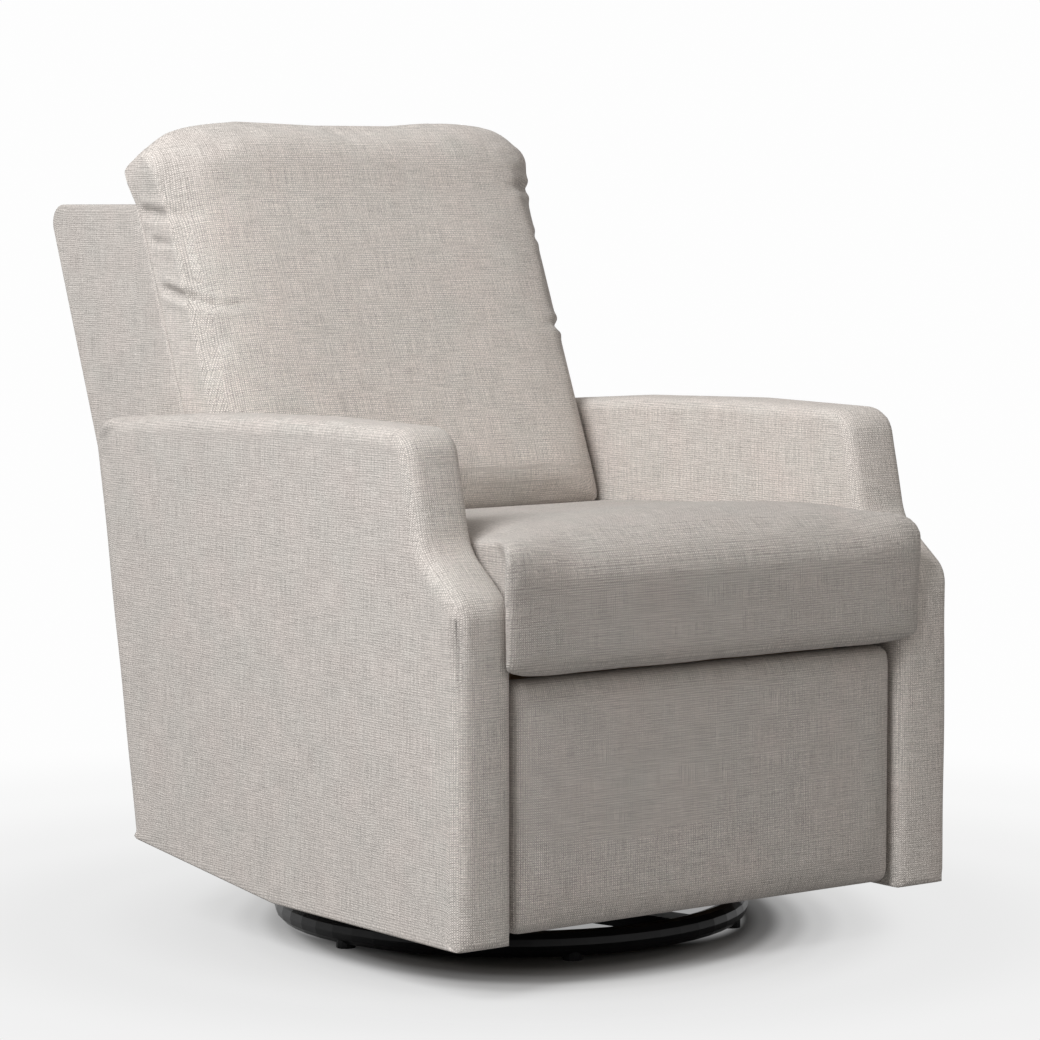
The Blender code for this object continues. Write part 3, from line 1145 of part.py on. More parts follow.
def build_footrest_linkage():
    """Four links and a tilt link on each side; the drive links share the torque tube."""
    m2 = added(DRIVE_PIVOT, FOLDED["m2"])
    for name, side in SIDES:
        footrest_link("cross_link_" + name, "cross_links", CROSS_LAYER, side,
                      (FOOT_PIVOT, Q_PIVOT), [M1_PIVOT, Q_PIVOT], [FOOT_PIVOT], CARRIAGE_LAYER)
        footrest_link("outer_cross_link_" + name, "outer_cross_links", CROSS_LAYER, side,
                      (P_PIVOT, E_PIVOT), [P_PIVOT, m2, E_PIVOT])
        footrest_link("outer_drive_link_" + name, "outer_drive_links", DRIVE_LAYER, side,
                      (Q_PIVOT, F_PIVOT), [], [Q_PIVOT, m2, F_PIVOT])
        footrest_link("tilt_link_" + name, "tilt_links", CROSS_LAYER, side, (F_PIVOT, G_PIVOT),
                      [F_PIVOT, G_PIVOT])

    left, right = (footrest_link(name, "drive_links", DRIVE_LAYER, side, (DRIVE_PIVOT, P_PIVOT),
                                 [DRIVE_PIVOT], [M1_PIVOT, P_PIVOT])
                   for name, side in (("drive_links", 1), ("drive_link_right", -1)))
    set_aside(right)
    add_boolean(left, right, "UNION")
    tube = bmesh.new()
    add_cylinder(tube, (0.0, 0.0, 0.0), TORQUE_TUBE_RADIUS, 2 * (layer(DRIVE_LAYER)[0] + TUBE_BITE),
                 "X", TORQUE_TUBE_SIDES)
    join_shape(left, "torque_tube", tube, "drive_links", (0.0, DRIVE_Y, DRIVE_Z))


def build_footrest():
    """Angle brackets, board and the padded panel."""
    flange_front = FOOTREST_BOARD_REAR_Y + SEAT_GAP - E_PIVOT[0]
    flange_y = (flange_front, flange_front + BRACKET_FLANGE)
    flange_z = (WELD_SET - BRACKET_DROP, BRACKET_RISE - WELD_SET)
    plate_front = flange_front + WELD_SET
    strip = flange_front + BRACKET_STRIP
    ear, ear_z = TILT_PIVOT[0] + TILT_EAR, TILT_PIVOT[1]
    foot = TILT_EAR + TILT_EAR_SLOPE
    shoulder, neck = BRACKET_SHOULDER
    bracket = rounded_outline([
        (plate_front, BRACKET_RISE, 0.0), (LINK_HALF_WIDTH, BRACKET_RISE, BRACKET_CORNER),
        (LINK_HALF_WIDTH, -shoulder, BRACKET_CORNER), (strip, -neck, BRACKET_CORNER),
        (strip, ear_z + foot, BRACKET_CORNER), (ear, ear_z + TILT_EAR, BRACKET_CORNER),
        (ear, ear_z - TILT_EAR, BRACKET_CORNER), (strip, ear_z - foot, BRACKET_CORNER),
        (strip, -BRACKET_DROP, 0.0), (plate_front, -BRACKET_DROP, 0.0)], 45)
    outer = layer(BRACKET_LAYER)[1]
    for name, side in SIDES:
        piece = standing_plate("footrest_bracket_" + name, "footrest", "zinc_steel",
                               layer(BRACKET_LAYER, side), bracket, [pin_hole(TILT_PIVOT)], E_PIVOT)
        join_rivets(piece, "footrest", [E_PIVOT], rivet_span(BRACKET_LAYER, CROSS_LAYER, side))
        flange = bmesh.new()
        add_box(flange, sided(side, outer - BRACKET_FLANGE_WIDTH, outer - WELD_SET), flange_y, flange_z)
        join_shape(piece, "flange_" + name, flange, "footrest", (0.0, *E_PIVOT))

    board_front = FOOTREST_BOARD_REAR_Y - FOOTREST_BOARD
    inner = FOOTREST_HALF_WIDTH - BOARD_INSET
    box_piece("footrest_board", "footrest", "plywood", (-inner, inner),
              (board_front, FOOTREST_BOARD_REAR_Y),
              (FOOTREST_BOTTOM + BOARD_INSET, FOOTREST_TOP - BOARD_INSET))
    pad = box_piece("footrest_pad", "footrest", "linen", (-FOOTREST_HALF_WIDTH, FOOTREST_HALF_WIDTH),
                    (FOOTREST_FRONT_Y, board_front - SEAT_GAP), (FOOTREST_BOTTOM, FOOTREST_TOP))
    round_edges(pad, FOOTREST_ROUNDING, 3)
    pad.data.shade_smooth()
    pad.data.set_sharp_from_angle(angle=SMOOTH_ANGLE)


build_base()
build_glider_base()
build_glide_links()
build_arms()
build_chassis()
build_carriage()
build_seat_cushion()
build_back()
build_back_cushion()
build_footrest_linkage()
build_footrest()
print("swivel recliner:", len(parts.objects) - len(empties), "pieces")
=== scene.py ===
import math

import bpy
import numpy as np
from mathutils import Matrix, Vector


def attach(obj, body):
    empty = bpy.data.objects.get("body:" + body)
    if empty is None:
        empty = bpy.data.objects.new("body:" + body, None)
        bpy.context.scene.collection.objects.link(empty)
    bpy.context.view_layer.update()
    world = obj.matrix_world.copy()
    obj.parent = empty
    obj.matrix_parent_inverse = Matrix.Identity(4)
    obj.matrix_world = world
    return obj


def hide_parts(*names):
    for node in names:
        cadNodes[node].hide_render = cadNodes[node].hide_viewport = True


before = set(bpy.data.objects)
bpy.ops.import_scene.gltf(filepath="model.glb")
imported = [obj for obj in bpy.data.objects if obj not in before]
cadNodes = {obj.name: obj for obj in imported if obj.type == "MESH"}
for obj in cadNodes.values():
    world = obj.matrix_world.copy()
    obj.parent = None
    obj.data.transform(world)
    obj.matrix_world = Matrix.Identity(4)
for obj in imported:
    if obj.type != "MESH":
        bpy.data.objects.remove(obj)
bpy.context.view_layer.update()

print("frame loaded:", len(cadNodes), "nodes")


# node helpers

def newMaterial(name):
    # a material, its node tree and its shader
    material = bpy.data.materials.new(name)
    material.use_nodes = True
    return material, material.node_tree, material.node_tree.nodes["Principled BSDF"]


def setInput(tree, socket, value):
    # an output is linked, anything else is written as the input's own value
    if isinstance(value, bpy.types.NodeSocket):
        tree.links.new(value, socket)
    else:
        socket.default_value = value


def wired(tree, node, inputs):
    # a node with its inputs linked or written
    for name, value in inputs.items():
        setInput(tree, node.inputs[name], value)
    return node


def mathNode(tree, operation, first, second=0.0):
    # operation(first, second) on two numbers
    node = tree.nodes.new("ShaderNodeMath")
    node.operation = operation
    return wired(tree, node, {0: first, 1: second}).outputs[0]


def times(tree, first, second):
    return mathNode(tree, "MULTIPLY", first, second)


def plus(tree, first, second):
    return mathNode(tree, "ADD", first, second)


def summed(tree, values):
    # value + value + ...
    total = values[0]
    for value in values[1:]:
        total = plus(tree, total, value)
    return total


def swing(tree, noise, amount):
    # (noise - 1/2) * amount
    return times(tree, mathNode(tree, "SUBTRACT", noise, 0.5), amount)


def vectorNode(tree, operation, first, second=(0.0, 0.0, 0.0), output="Value"):
    # operation(first, second) on vectors, read as a number or, with output "Vector", as a vector
    node = tree.nodes.new("ShaderNodeVectorMath")
    node.operation = operation
    other = "Scale" if operation == "SCALE" else 1
    return wired(tree, node, {0: first, other: second}).outputs[output]


def stepNode(tree, value, low, high, start, end):
    # from start at low to end at high, as a smooth step
    node = tree.nodes.new("ShaderNodeMapRange")
    node.interpolation_type = "SMOOTHSTEP"
    inputs = {"Value": value, "From Min": low, "From Max": high, "To Min": start, "To Max": end}
    return wired(tree, node, inputs).outputs[0]


def stretched(tree, point, scale, offset=(0.0, 0.0, 0.0)):
    # point * scale + offset
    node = tree.nodes.new("ShaderNodeMapping")
    return wired(tree, node, {"Vector": point, "Scale": scale, "Location": offset}).outputs[0]


def noiseOn(tree, point, scale, detail=2.0, roughness=0.5):
    # noise between 0 and 1 at point * scale
    node = tree.nodes.new("ShaderNodeTexNoise")
    inputs = {"Vector": point, "Scale": scale, "Detail": detail, "Roughness": roughness}
    return wired(tree, node, inputs).outputs[0]


def mixedColours(tree, share, first, second):
    # first * (1 - share) + second * share
    node = tree.nodes.new("ShaderNodeMix")
    node.data_type = "RGBA"
    return wired(tree, node, {0: share, 6: first, 7: second}).outputs[2]


def mixedShaders(tree, share, first, second, output):
    node = wired(tree, tree.nodes.new("ShaderNodeMixShader"), {0: share, 1: first, 2: second})
    tree.links.new(node.outputs[0], output.inputs["Surface"])


def shaded(tree, colour, factor):
    # colour times a grey factor
    plain = colour if isinstance(colour, bpy.types.NodeSocket) else colour[:3]
    return vectorNode(tree, "SCALE", plain, factor, "Vector")


def addBump(tree, shader, height, distance, strength):
    # the shader's normal turned by the slope of height * distance
    inputs = {"Distance": distance, "Strength": strength, "Height": height}
    bump = wired(tree, tree.nodes.new("ShaderNodeBump"), inputs)
    tree.links.new(bump.outputs[0], shader.inputs["Normal"])


def objectPlace(tree):
    # the point in the piece's own coordinates
    return tree.nodes.new("ShaderNodeTexCoord").outputs["Object"]


def setPlain(shader, values):
    # what is the same all over a surface, on the shader's own sockets
    for name, value in values.items():
        shader.inputs[name].default_value = value


# materials

linen = {
    "warm": (0.600, 0.535, 0.500, 1.0),
    "cool": (0.545, 0.525, 0.490, 1.0),
    "thread": 0.0027,       # pitch of the threads
    "wobble": 0.0005,       # how far a thread strays to each side
    "lone": 0.35,           # height of a thread by itself
    "crossed": 0.65,        # further height where two threads cross
    # painted light: the threads' crowns drawn lighter than their hollows
    "crossing": 0.42,       # how much lighter the threads' crowns are
    "slub": 0.60,           # how far thick and thin stretches change the tone
    "slubHeight": 1.5,
    "slubLength": 26.0,     # noise cells a metre along a thread
    "slubWidth": 640.0,
    "grain": 0.85,
    "cloud": 0.12,
    "cells": {"wobble": 90.0, "cloud": 22.0, "grain": 420.0, "tint": 13.0},
    # how much the painted shade in creases and on lit edges darkens the linen
    "paintedShadeAmount": 0.60,
    "dartFade": 0.6,        # how much weaker a dart is at its end
    "dartDepth": 3.0,
    "edge": 0.016,          # radius of an edge that the cloth turns over
    "endFrom": 0.72,        # share of a normal along X from which a face counts as an end
    "placeRounds": 8,       # rounds of averaging before the weave is read
    "bendRounds": 6,
    "bump": 0.0005,
    "bumpStrength": 0.55,
    "finish": {"Roughness": 0.92, "Specular IOR Level": 0.25, "Sheen Weight": 0.12, "Sheen Roughness": 0.5},
}


def lineMark(tree, start, end, width):
    # distance to a short line, turned into 1 on it and 0 a width away, weaker towards its end
    start, step = Vector(start), Vector(end) - Vector(start)
    offset = vectorNode(tree, "SUBTRACT", objectPlace(tree), start, "Vector")
    along = vectorNode(tree, "DOT_PRODUCT", offset, step / step.length_squared)
    share = mathNode(tree, "MINIMUM", mathNode(tree, "MAXIMUM", along, 0.0), 1.0)
    foot = vectorNode(tree, "SCALE", step, share, "Vector")
    mark = stepNode(tree, vectorNode(tree, "DISTANCE", offset, foot), 0.0, width, 1.0, 0.0)
    weaker = plus(tree, times(tree, share, -linen["dartFade"]), 1.0)
    return times(tree, mark, weaker)


def linenMaterial(name, shift, lines=(), tone=1.0):
    # canvas: height = lone (a + b) + crossed a b, a = sin(2 pi u / pitch), b = sin(2 pi v / pitch);
    # tone = tone * (1 + crossing * height + slubs + cloud + grain - painted shade), less along the given
    # lines
    # tone is painted light or shade, drawing a whole piece lighter or darker for how the light falls on it
    material, tree, shader = newMaterial(name)
    cells = linen["cells"]
    uv = tree.nodes.new("ShaderNodeUVMap")
    uv.uv_map = "weave"
    place = stretched(tree, uv.outputs["UV"], (1.0, 1.0, 1.0), (shift, 2 * shift, 0.0))
    parts = wired(tree, tree.nodes.new("ShaderNodeSeparateXYZ"), {0: place})
    wobble = swing(tree, noiseOn(tree, place, cells["wobble"], 3.0, 0.6), linen["wobble"] * 2)
    turns = 2 * math.pi / linen["thread"]
    warp, weft = (mathNode(tree, "SINE", times(tree, plus(tree, side, wobble), turns))
                  for side in parts.outputs[:2])
    threads = times(tree, plus(tree, warp, weft), linen["lone"])
    knots = times(tree, times(tree, warp, weft), linen["crossed"])
    crossing = plus(tree, threads, knots)
    long, thin = linen["slubLength"], linen["slubWidth"]
    slubs = [swing(tree, noiseOn(tree, stretched(tree, place, scale), 1.0, 1.5), linen["slub"])
             for scale in ((long, thin, 1.0), (thin, long, 1.0))]
    cloud = swing(tree, noiseOn(tree, place, cells["cloud"], 3.0), linen["cloud"])
    grain = swing(tree, noiseOn(tree, place, cells["grain"], 1.0), linen["grain"])
    # painted light on the threads' crowns, lighter the higher they stand
    lit = times(tree, crossing, linen["crossing"])
    # painted shade in creases and on lit edges, read from the point attribute
    painted_shade = tree.nodes.new("ShaderNodeAttribute")
    painted_shade.attribute_name = "painted_shade"
    paintedShadeAmount = times(tree, painted_shade.outputs["Fac"], -linen["paintedShadeAmount"])
    factor = summed(tree, [lit, *slubs, cloud, grain, paintedShadeAmount])
    factor = times(tree, plus(tree, factor, 1.0), tone)
    height = summed(tree, [crossing] + [times(tree, slub, linen["slubHeight"]) for slub in slubs])
    for start, end, width, shade in lines:
        mark = lineMark(tree, start, end, width)
        darker = plus(tree, times(tree, mark, -shade), 1.0)
        factor = times(tree, factor, darker)
        height = plus(tree, height, times(tree, mark, -linen["dartDepth"]))
    spots = stretched(tree, place, (cells["tint"], cells["tint"], 1.0), (3.0, 7.0, 0.0))
    tint = mixedColours(tree, noiseOn(tree, spots, 1.0, 2.0, 0.6), linen["warm"], linen["cool"])
    tree.links.new(shaded(tree, tint, factor), shader.inputs["Base Color"])
    addBump(tree, shader, height, linen["bump"], linen["bumpStrength"])
    setPlain(shader, linen["finish"])
    return material


def paintMaterial(name, colour, roughness, speck, specular):
    # colour * (1 + speckle), with a fine orange peel in the bump
    material, tree, shader = newMaterial(name)
    place = objectPlace(tree)
    speckle = plus(tree, swing(tree, noiseOn(tree, place, 45.0, 4.0), speck * 2), 1.0)
    tree.links.new(shaded(tree, colour, speckle), shader.inputs["Base Color"])
    wear = plus(tree, swing(tree, noiseOn(tree, place, 18.0, 3.0), 0.16), roughness)
    tree.links.new(wear, shader.inputs["Roughness"])
    addBump(tree, shader, noiseOn(tree, place, 900.0, 2.0), 0.0001, 0.25)
    setPlain(shader, {"Specular IOR Level": specular})
    return material


def brushedMaterial(name, colour, roughness):
    # colour * (1 + scratches + blotches), a scratch being noise squeezed along one direction
    material, tree, shader = newMaterial(name)
    place = objectPlace(tree)
    scratch = noiseOn(tree, stretched(tree, place, (900.0, 60.0, 60.0)), 1.0, 3.0)
    blotch = noiseOn(tree, place, 30.0, 3.0)
    change = plus(tree, swing(tree, scratch, 0.25), swing(tree, blotch, 0.30))
    factor = plus(tree, change, 1.0)
    tree.links.new(shaded(tree, colour, factor), shader.inputs["Base Color"])
    rough = plus(tree, swing(tree, scratch, 0.25), roughness)
    tree.links.new(rough, shader.inputs["Roughness"])
    addBump(tree, shader, scratch, 0.0001, 0.3)
    setPlain(shader, {"Metallic": 1.0})
    return material


def woodMaterial(name, pale, dark, along):
    # share of dark = noise squeezed along the board + 0.22 * sin(42 * that noise), which gives the rings
    material, tree, shader = newMaterial(name)
    place = objectPlace(tree)
    streak = noiseOn(tree, stretched(tree, place, along), 1.0, 5.0, 0.6)
    rings = mathNode(tree, "SINE", times(tree, streak, 42.0))
    share = plus(tree, times(tree, rings, 0.22), streak)
    tree.links.new(mixedColours(tree, share, pale, dark), shader.inputs["Base Color"])
    addBump(tree, shader, streak, 0.0004, 0.4)
    setPlain(shader, {"Roughness": 0.62})
    return material


def strapMaterial(name):
    # rib * row, two crossed sines of the place, shade and raise the strap; a noise clouds it
    material, tree, shader = newMaterial(name)
    place = objectPlace(tree)
    parts = tree.nodes.new("ShaderNodeSeparateXYZ")
    tree.links.new(place, parts.inputs[0])
    rib = mathNode(tree, "SINE", times(tree, parts.outputs[0], 2600.0))
    row = mathNode(tree, "SINE", times(tree, parts.outputs[2], 2600.0))
    weave = times(tree, rib, row)
    cloud = swing(tree, noiseOn(tree, place, 70.0, 3.0), 0.4)
    factor = summed(tree, [times(tree, weave, 0.25), cloud])
    factor = plus(tree, factor, 1.0)
    tree.links.new(shaded(tree, (0.11, 0.105, 0.10, 1.0), factor), shader.inputs["Base Color"])
    addBump(tree, shader, weave, 0.0004, 0.5)
    setPlain(shader, {"Roughness": 0.9})
    return material


hardware = {
    "plywood": woodMaterial("birch_plywood", (0.66, 0.50, 0.33, 1.0), (0.47, 0.33, 0.20, 1.0), (22, 3, 22)),
    "hardwood": woodMaterial("beech_rail", (0.55, 0.38, 0.23, 1.0), (0.36, 0.22, 0.12, 1.0), (4, 26, 26)),
    "black_gloss": paintMaterial("gloss_black_tube", (0.010, 0.010, 0.011, 1.0), 0.30, 0.1, 0.16),
    "black_steel": paintMaterial("satin_black_steel", (0.035, 0.035, 0.037, 1.0), 0.45, 0.2, 0.4),
    "zinc_steel": brushedMaterial("zinc_plated_steel", (0.56, 0.56, 0.55, 1.0), 0.38),
    "spring_steel": brushedMaterial("oil_dark_spring", (0.24, 0.235, 0.23, 1.0), 0.42),
}

slotsSeen = set()
for node in cadNodes.values():
    slotName = node.data.materials[0].name.split(".")[0]
    slotsSeen.add(slotName)
    if slotName in hardware:
        node.data.materials.clear()
        node.data.materials.append(hardware[slotName])
print("metal and wood finished:", sorted(slotsSeen))


# shapes

def evenSteps(line, step):
    # a closed line read again at equal lengths along itself
    loop = np.vstack([line, line[:1]])
    along = np.concatenate([[0.0], np.cumsum(np.linalg.norm(np.diff(loop, axis=0), axis=1))])
    count = int(round(along[-1] / step))
    at = np.arange(count) * along[-1] / count
    return np.stack([np.interp(at, along, loop[:, k]) for k in range(2)], 1)


def roundedOutline(corners, step):
    # each corner (y, z, r) becomes the arc of radius r that touches its sides, r / tan(half angle) from it
    corner = np.array(corners, float)
    place, radius = corner[:, :2], corner[:, 2:]
    back, ahead = np.roll(place, 1, 0) - place, np.roll(place, -1, 0) - place
    back /= np.linalg.norm(back, axis=1, keepdims=True)
    ahead /= np.linalg.norm(ahead, axis=1, keepdims=True)
    half = np.arccos(np.clip((back * ahead).sum(1, keepdims=True), -1.0, 1.0)) / 2
    toCentre = (back + ahead) / np.linalg.norm(back + ahead, axis=1, keepdims=True)
    centre = place + toCentre * radius / np.sin(half)
    start, end = place + back * radius / np.tan(half) - centre, place + ahead * radius / np.tan(half) - centre
    share = np.linspace(0.0, 1.0, 17)[None, :, None]    # 17 points on each arc
    bend = (math.pi - 2 * half)[:, None]
    arc = (np.sin((1 - share) * bend) * start[:, None] + np.sin(share * bend) * end[:, None]) / np.sin(bend)
    return evenSteps((centre[:, None] + arc).reshape(-1, 2), step)


def inwardOf(outline):
    # the line's direction turned a quarter towards its inside
    ahead = np.roll(outline, -1, 0)
    tangent = ahead - np.roll(outline, 1, 0)
    tangent /= np.linalg.norm(tangent, axis=1, keepdims=True)
    area = (outline[:, 0] * ahead[:, 1] - ahead[:, 0] * outline[:, 1]).sum()
    return np.stack([-tangent[:, 1], tangent[:, 0]], 1) * np.sign(area)


def endRings(outline, form, end, sign, rim, bulge):
    # from the middle of an end outwards, then over its rim: x = end - r (1 - cos a), inset = r (1 - sin a);
    # the flat part turns from the outline's own shape to its border by share^12
    inward = inwardOf(outline)
    rim = np.broadcast_to(rim, len(outline))[:, None]
    centre = np.array(form["centre"], float)
    share = np.linspace(0.0, 1.0, form["rings"][0] + 1)[1:, None, None]
    border = outline + inward * rim
    if "tucked" in form:
        border[:, 0] = np.maximum(border[:, 0], border[inward[:, 0] > form["tucked"], 0].min())
    cap = centre + (outline + (border - outline) * share ** 12 - centre) * share
    capX = np.broadcast_to(end + sign * bulge * (1 - share ** 2) ** 2, cap.shape[:2] + (1,))
    angle = np.linspace(0.0, math.pi / 2, form["rings"][1] + 1)[1:, None, None]
    turn = outline + inward * rim * (1 - np.sin(angle))
    turnX = end - sign * rim * (1 - np.cos(angle))
    return np.concatenate([np.concatenate([capX, cap], 2), np.concatenate([turnX, turn], 2)])


def sweptRings(outline, form):
    # an outline carried across X between two rounded ends, as rings from one end's middle to the other's
    low = endRings(outline, form, form["xs"][0], -1.0, form["rims"][0], form["bulges"][0])
    high = endRings(outline, form, form["xs"][1], 1.0, form["rims"][1], form["bulges"][1])[::-1]
    share = np.linspace(0.0, 1.0, form["rings"][2] + 2)[1:-1, None, None]
    rings = np.concatenate([low, low[-1] * (1 - share) + high[0] * share, high])
    poles = np.array([[form["xs"][0] - form["bulges"][0], *form["centre"]],
                      [form["xs"][1] + form["bulges"][1], *form["centre"]]])
    return rings, poles


def plainForm(xs, rim, centre, rings):
    # two ends at xs, alike and flat; rings are counted on each end, over its rim, and between the two
    return {"xs": xs, "rims": (rim, rim), "bulges": (0.0, 0.0), "centre": centre, "rings": rings}


def signedVolume(points, triangles):
    # a sixth of the sum of a . (b x c)
    a, b, c = (points[triangles[:, k]] for k in range(3))
    return (a * np.cross(b, c)).sum() / 6


def meshFromFaces(name, points, quads, triangles=np.empty((0, 3), int)):
    mesh = bpy.data.meshes.new(name)
    mesh.vertices.add(len(points))
    mesh.vertices.foreach_set("co", points.astype(np.float32).ravel())
    sizes = np.concatenate([np.full(len(quads), 4), np.full(len(triangles), 3)])
    starts = np.concatenate([[0], np.cumsum(sizes)[:-1]]).astype(np.int32)
    mesh.loops.add(int(sizes.sum()))
    corners = np.concatenate([quads.ravel(), triangles.ravel()]).astype(np.int32)
    mesh.loops.foreach_set("vertex_index", corners)
    mesh.polygons.add(len(sizes))
    mesh.polygons.foreach_set("loop_start", starts)
    mesh.update(calc_edges=True)
    mesh.shade_smooth()
    return mesh


def closedMesh(name, rings, poles):
    # rings joined by quads, each end closed by a fan round its pole, faces turned outwards
    rows, count = rings.shape[:2]
    points = np.concatenate([rings.reshape(-1, 3), poles])
    grid = np.arange(rows * count).reshape(rows, count)
    onward = np.roll(grid, -1, 1)
    quads = np.stack([grid[:-1], onward[:-1], onward[1:], grid[1:]], -1).reshape(-1, 4)
    fans = np.concatenate([
        np.stack([np.full(count, rows * count), onward[0], grid[0]], -1),
        np.stack([np.full(count, rows * count + 1), grid[-1], onward[-1]], -1)])
    if signedVolume(points, np.concatenate([quads[:, :3], quads[:, [0, 2, 3]], fans])) < 0:
        quads, fans = quads[:, ::-1], fans[:, ::-1]
    return meshFromFaces(name, points, quads, fans)


def addPiece(name, mesh, material):
    piece = bpy.data.objects.new(name, mesh)
    bpy.context.scene.collection.objects.link(piece)
    mesh.materials.append(material)
    return piece


def addShell(name, rings, poles, material):
    return addPiece(name, closedMesh(name, rings, poles), material)


def readPoints(mesh):
    points = np.empty(len(mesh.vertices) * 3, np.float32)
    mesh.vertices.foreach_get("co", points)
    return points.reshape(-1, 3).astype(float)


def writePoints(mesh, points):
    mesh.vertices.foreach_set("co", points.astype(np.float32).ravel())
    mesh.update()


def readNormals(mesh):
    normals = np.empty(len(mesh.vertices) * 3, np.float32)
    mesh.vertex_normals.foreach_get("vector", normals)
    return normals.reshape(-1, 3).astype(float)


def bakeModifiers(piece):
    # the piece as its modifiers leave it becomes its own mesh
    graph = bpy.context.evaluated_depsgraph_get()
    mesh = bpy.data.meshes.new_from_object(piece.evaluated_get(graph))
    piece.modifiers.clear()
    old = piece.data
    piece.data = mesh
    bpy.data.meshes.remove(old)
    mesh.name = piece.name
    mesh.shade_smooth()


def averaged(mesh, values, rounds):
    # each point's value moves halfway to the mean of its neighbours', round after round
    edges = np.empty(len(mesh.edges) * 2, np.int32)
    mesh.edges.foreach_get("vertices", edges)
    a, b = edges[::2], edges[1::2]
    count = len(values)
    degree = (np.bincount(a, minlength=count) + np.bincount(b, minlength=count))[:, None]
    for _ in range(rounds):
        total = np.stack([np.bincount(a, values[b, k], count) + np.bincount(b, values[a, k], count)
                          for k in range(3)], 1)
        values = (values + total / degree) / 2
    return values


def evened(mesh, rounds):
    writePoints(mesh, averaged(mesh, readPoints(mesh), rounds))


def swollen(piece, fill):
    # voxel remesh, then cloth under pressure: each point goes outwards as the cloth does, at most by the cap
    remesh = piece.modifiers.new("voxels", "REMESH")
    remesh.mode = "VOXEL"
    remesh.voxel_size = fill["voxel"]
    bakeModifiers(piece)
    evened(piece.data, 2)
    rest = readPoints(piece.data)
    cloth = piece.modifiers.new("fill", "CLOTH")
    cloth.settings.quality = 5
    cloth.settings.use_pressure = True
    cloth.settings.uniform_pressure_force = fill["pressure"]
    cloth.settings.effector_weights.gravity = 0.0
    cloth.settings.bending_stiffness = fill["stiffness"]
    cloth.point_cache.frame_start = 1
    cloth.point_cache.frame_end = fill["frames"]
    for number in range(1, fill["frames"] + 1):
        bpy.context.scene.frame_set(number)
    graph = bpy.context.evaluated_depsgraph_get()
    moved = readPoints(piece.evaluated_get(graph).data)
    piece.modifiers.clear()
    bpy.context.scene.frame_set(1)
    normals = readNormals(piece.data)
    shift = np.maximum(((moved - rest) * normals).sum(1, keepdims=True), 0.0) * normals
    length = np.linalg.norm(shift, axis=1, keepdims=True)
    shift *= np.minimum(1.0, fill["cap"] / np.maximum(length, 1e-9))
    writePoints(piece.data, rest + averaged(piece.data, shift, fill["calm"]))
    most = round(float(length.max()) * 1000, 1)
    print("swollen:", piece.name, len(rest), "points, most moved", most, "mm")
    smooth = piece.modifiers.new("smooth", "SUBSURF")
    smooth.levels = smooth.render_levels = 1
    bakeModifiers(piece)


def addWeave(piece, outline):
    # across the boxing the weave reads (x, length along the outline), on the ends (y, z); where the cloth
    # turns over an end by the angle a, x is lengthened by edge * (a - sin a)
    mesh = piece.data
    points = averaged(mesh, readPoints(mesh), linen["placeRounds"])
    steps = np.roll(outline, -1, 0) - outline
    lengths = np.linalg.norm(steps, axis=1)
    along = np.concatenate([[0.0], np.cumsum(lengths)[:-1]])
    nearest = np.concatenate([
        np.argmin(((chunk[:, None, 1:] - outline[None]) ** 2).sum(2), 1)
        for chunk in np.array_split(points, max(1, len(points) // 6000))])    # some thousands at a time
    run = along[nearest] + ((points[:, 1:] - outline[nearest]) * (steps / lengths[:, None])[nearest]).sum(1)
    corners = np.empty(len(mesh.loops), np.int32)
    mesh.loops.foreach_get("vertex_index", corners)
    normals = np.empty(len(mesh.polygons) * 3, np.float32)
    mesh.polygon_normals.foreach_get("vector", normals)
    sizes = np.empty(len(mesh.polygons), np.int32)
    mesh.polygons.foreach_get("loop_total", sizes)
    onEnd = np.repeat(np.abs(normals[::3]) > linen["endFrom"], sizes)[:, None]
    turned = averaged(mesh, readNormals(mesh), linen["bendRounds"])[:, 0]
    bend = np.arcsin(np.clip(turned, -1.0, 1.0))
    girth = points[:, 0] + linen["edge"] * (bend - np.sin(bend))
    across = np.stack([girth, run], 1)[corners]
    uv = np.where(onEnd, points[corners, 1:], across)
    layer = mesh.uv_layers.new(name="weave")
    layer.data.foreach_set("uv", uv.astype(np.float32).ravel())


def addPaintedShade(piece, painted_shade):
    # a value from 0 to 1 at each point, the painted shade in creases and on lit edges, by which the linen is
    # darkened
    layer = piece.data.attributes.new("painted_shade", "FLOAT", "POINT")
    values = np.broadcast_to(np.clip(painted_shade, 0.0, 1.0), len(piece.data.vertices))
    layer.data.foreach_set("value", values.astype(np.float32))


def dressed(piece, outline, painted_shade=0.0):
    # what every linen piece ends with
    addWeave(piece, outline)
    addPaintedShade(piece, painted_shade)


def smoothStep(value, low, high):
    # s^2 (3 - 2 s), where s goes from 0 at low to 1 at high
    share = np.clip((value - low) / (high - low), 0.0, 1.0)
    return share * share * (3 - 2 * share)


def dome(share):
    # 1 - share^2, not below 0
    return np.clip(1.0 - share ** 2, 0.0, 1.0)


def nearLine(points, line):
    # distance to a line of points, and the share of its length where that is
    line = np.array(line, float)
    starts, steps = line[:-1], np.diff(line, axis=0)
    lengths = np.linalg.norm(steps, axis=1)
    along = np.concatenate([[0.0], np.cumsum(lengths)[:-1]])
    offset = points[:, None] - starts[None]
    share = np.clip((offset * steps[None]).sum(2) / (lengths ** 2)[None], 0.0, 1.0)
    gap = np.linalg.norm(offset - share[..., None] * steps[None], axis=2)
    best = np.argmin(gap, 1)
    rows = np.arange(len(points))
    return gap[rows, best], (along[best] + share[rows, best] * lengths[best]) / lengths.sum()


crease = {
    "fade": 1.6,           # slope of its fading towards the far end
    "start": (-0.02, 0.12),
    "lip": 0.35,           # height of the lip beside it, a share of the depth
}


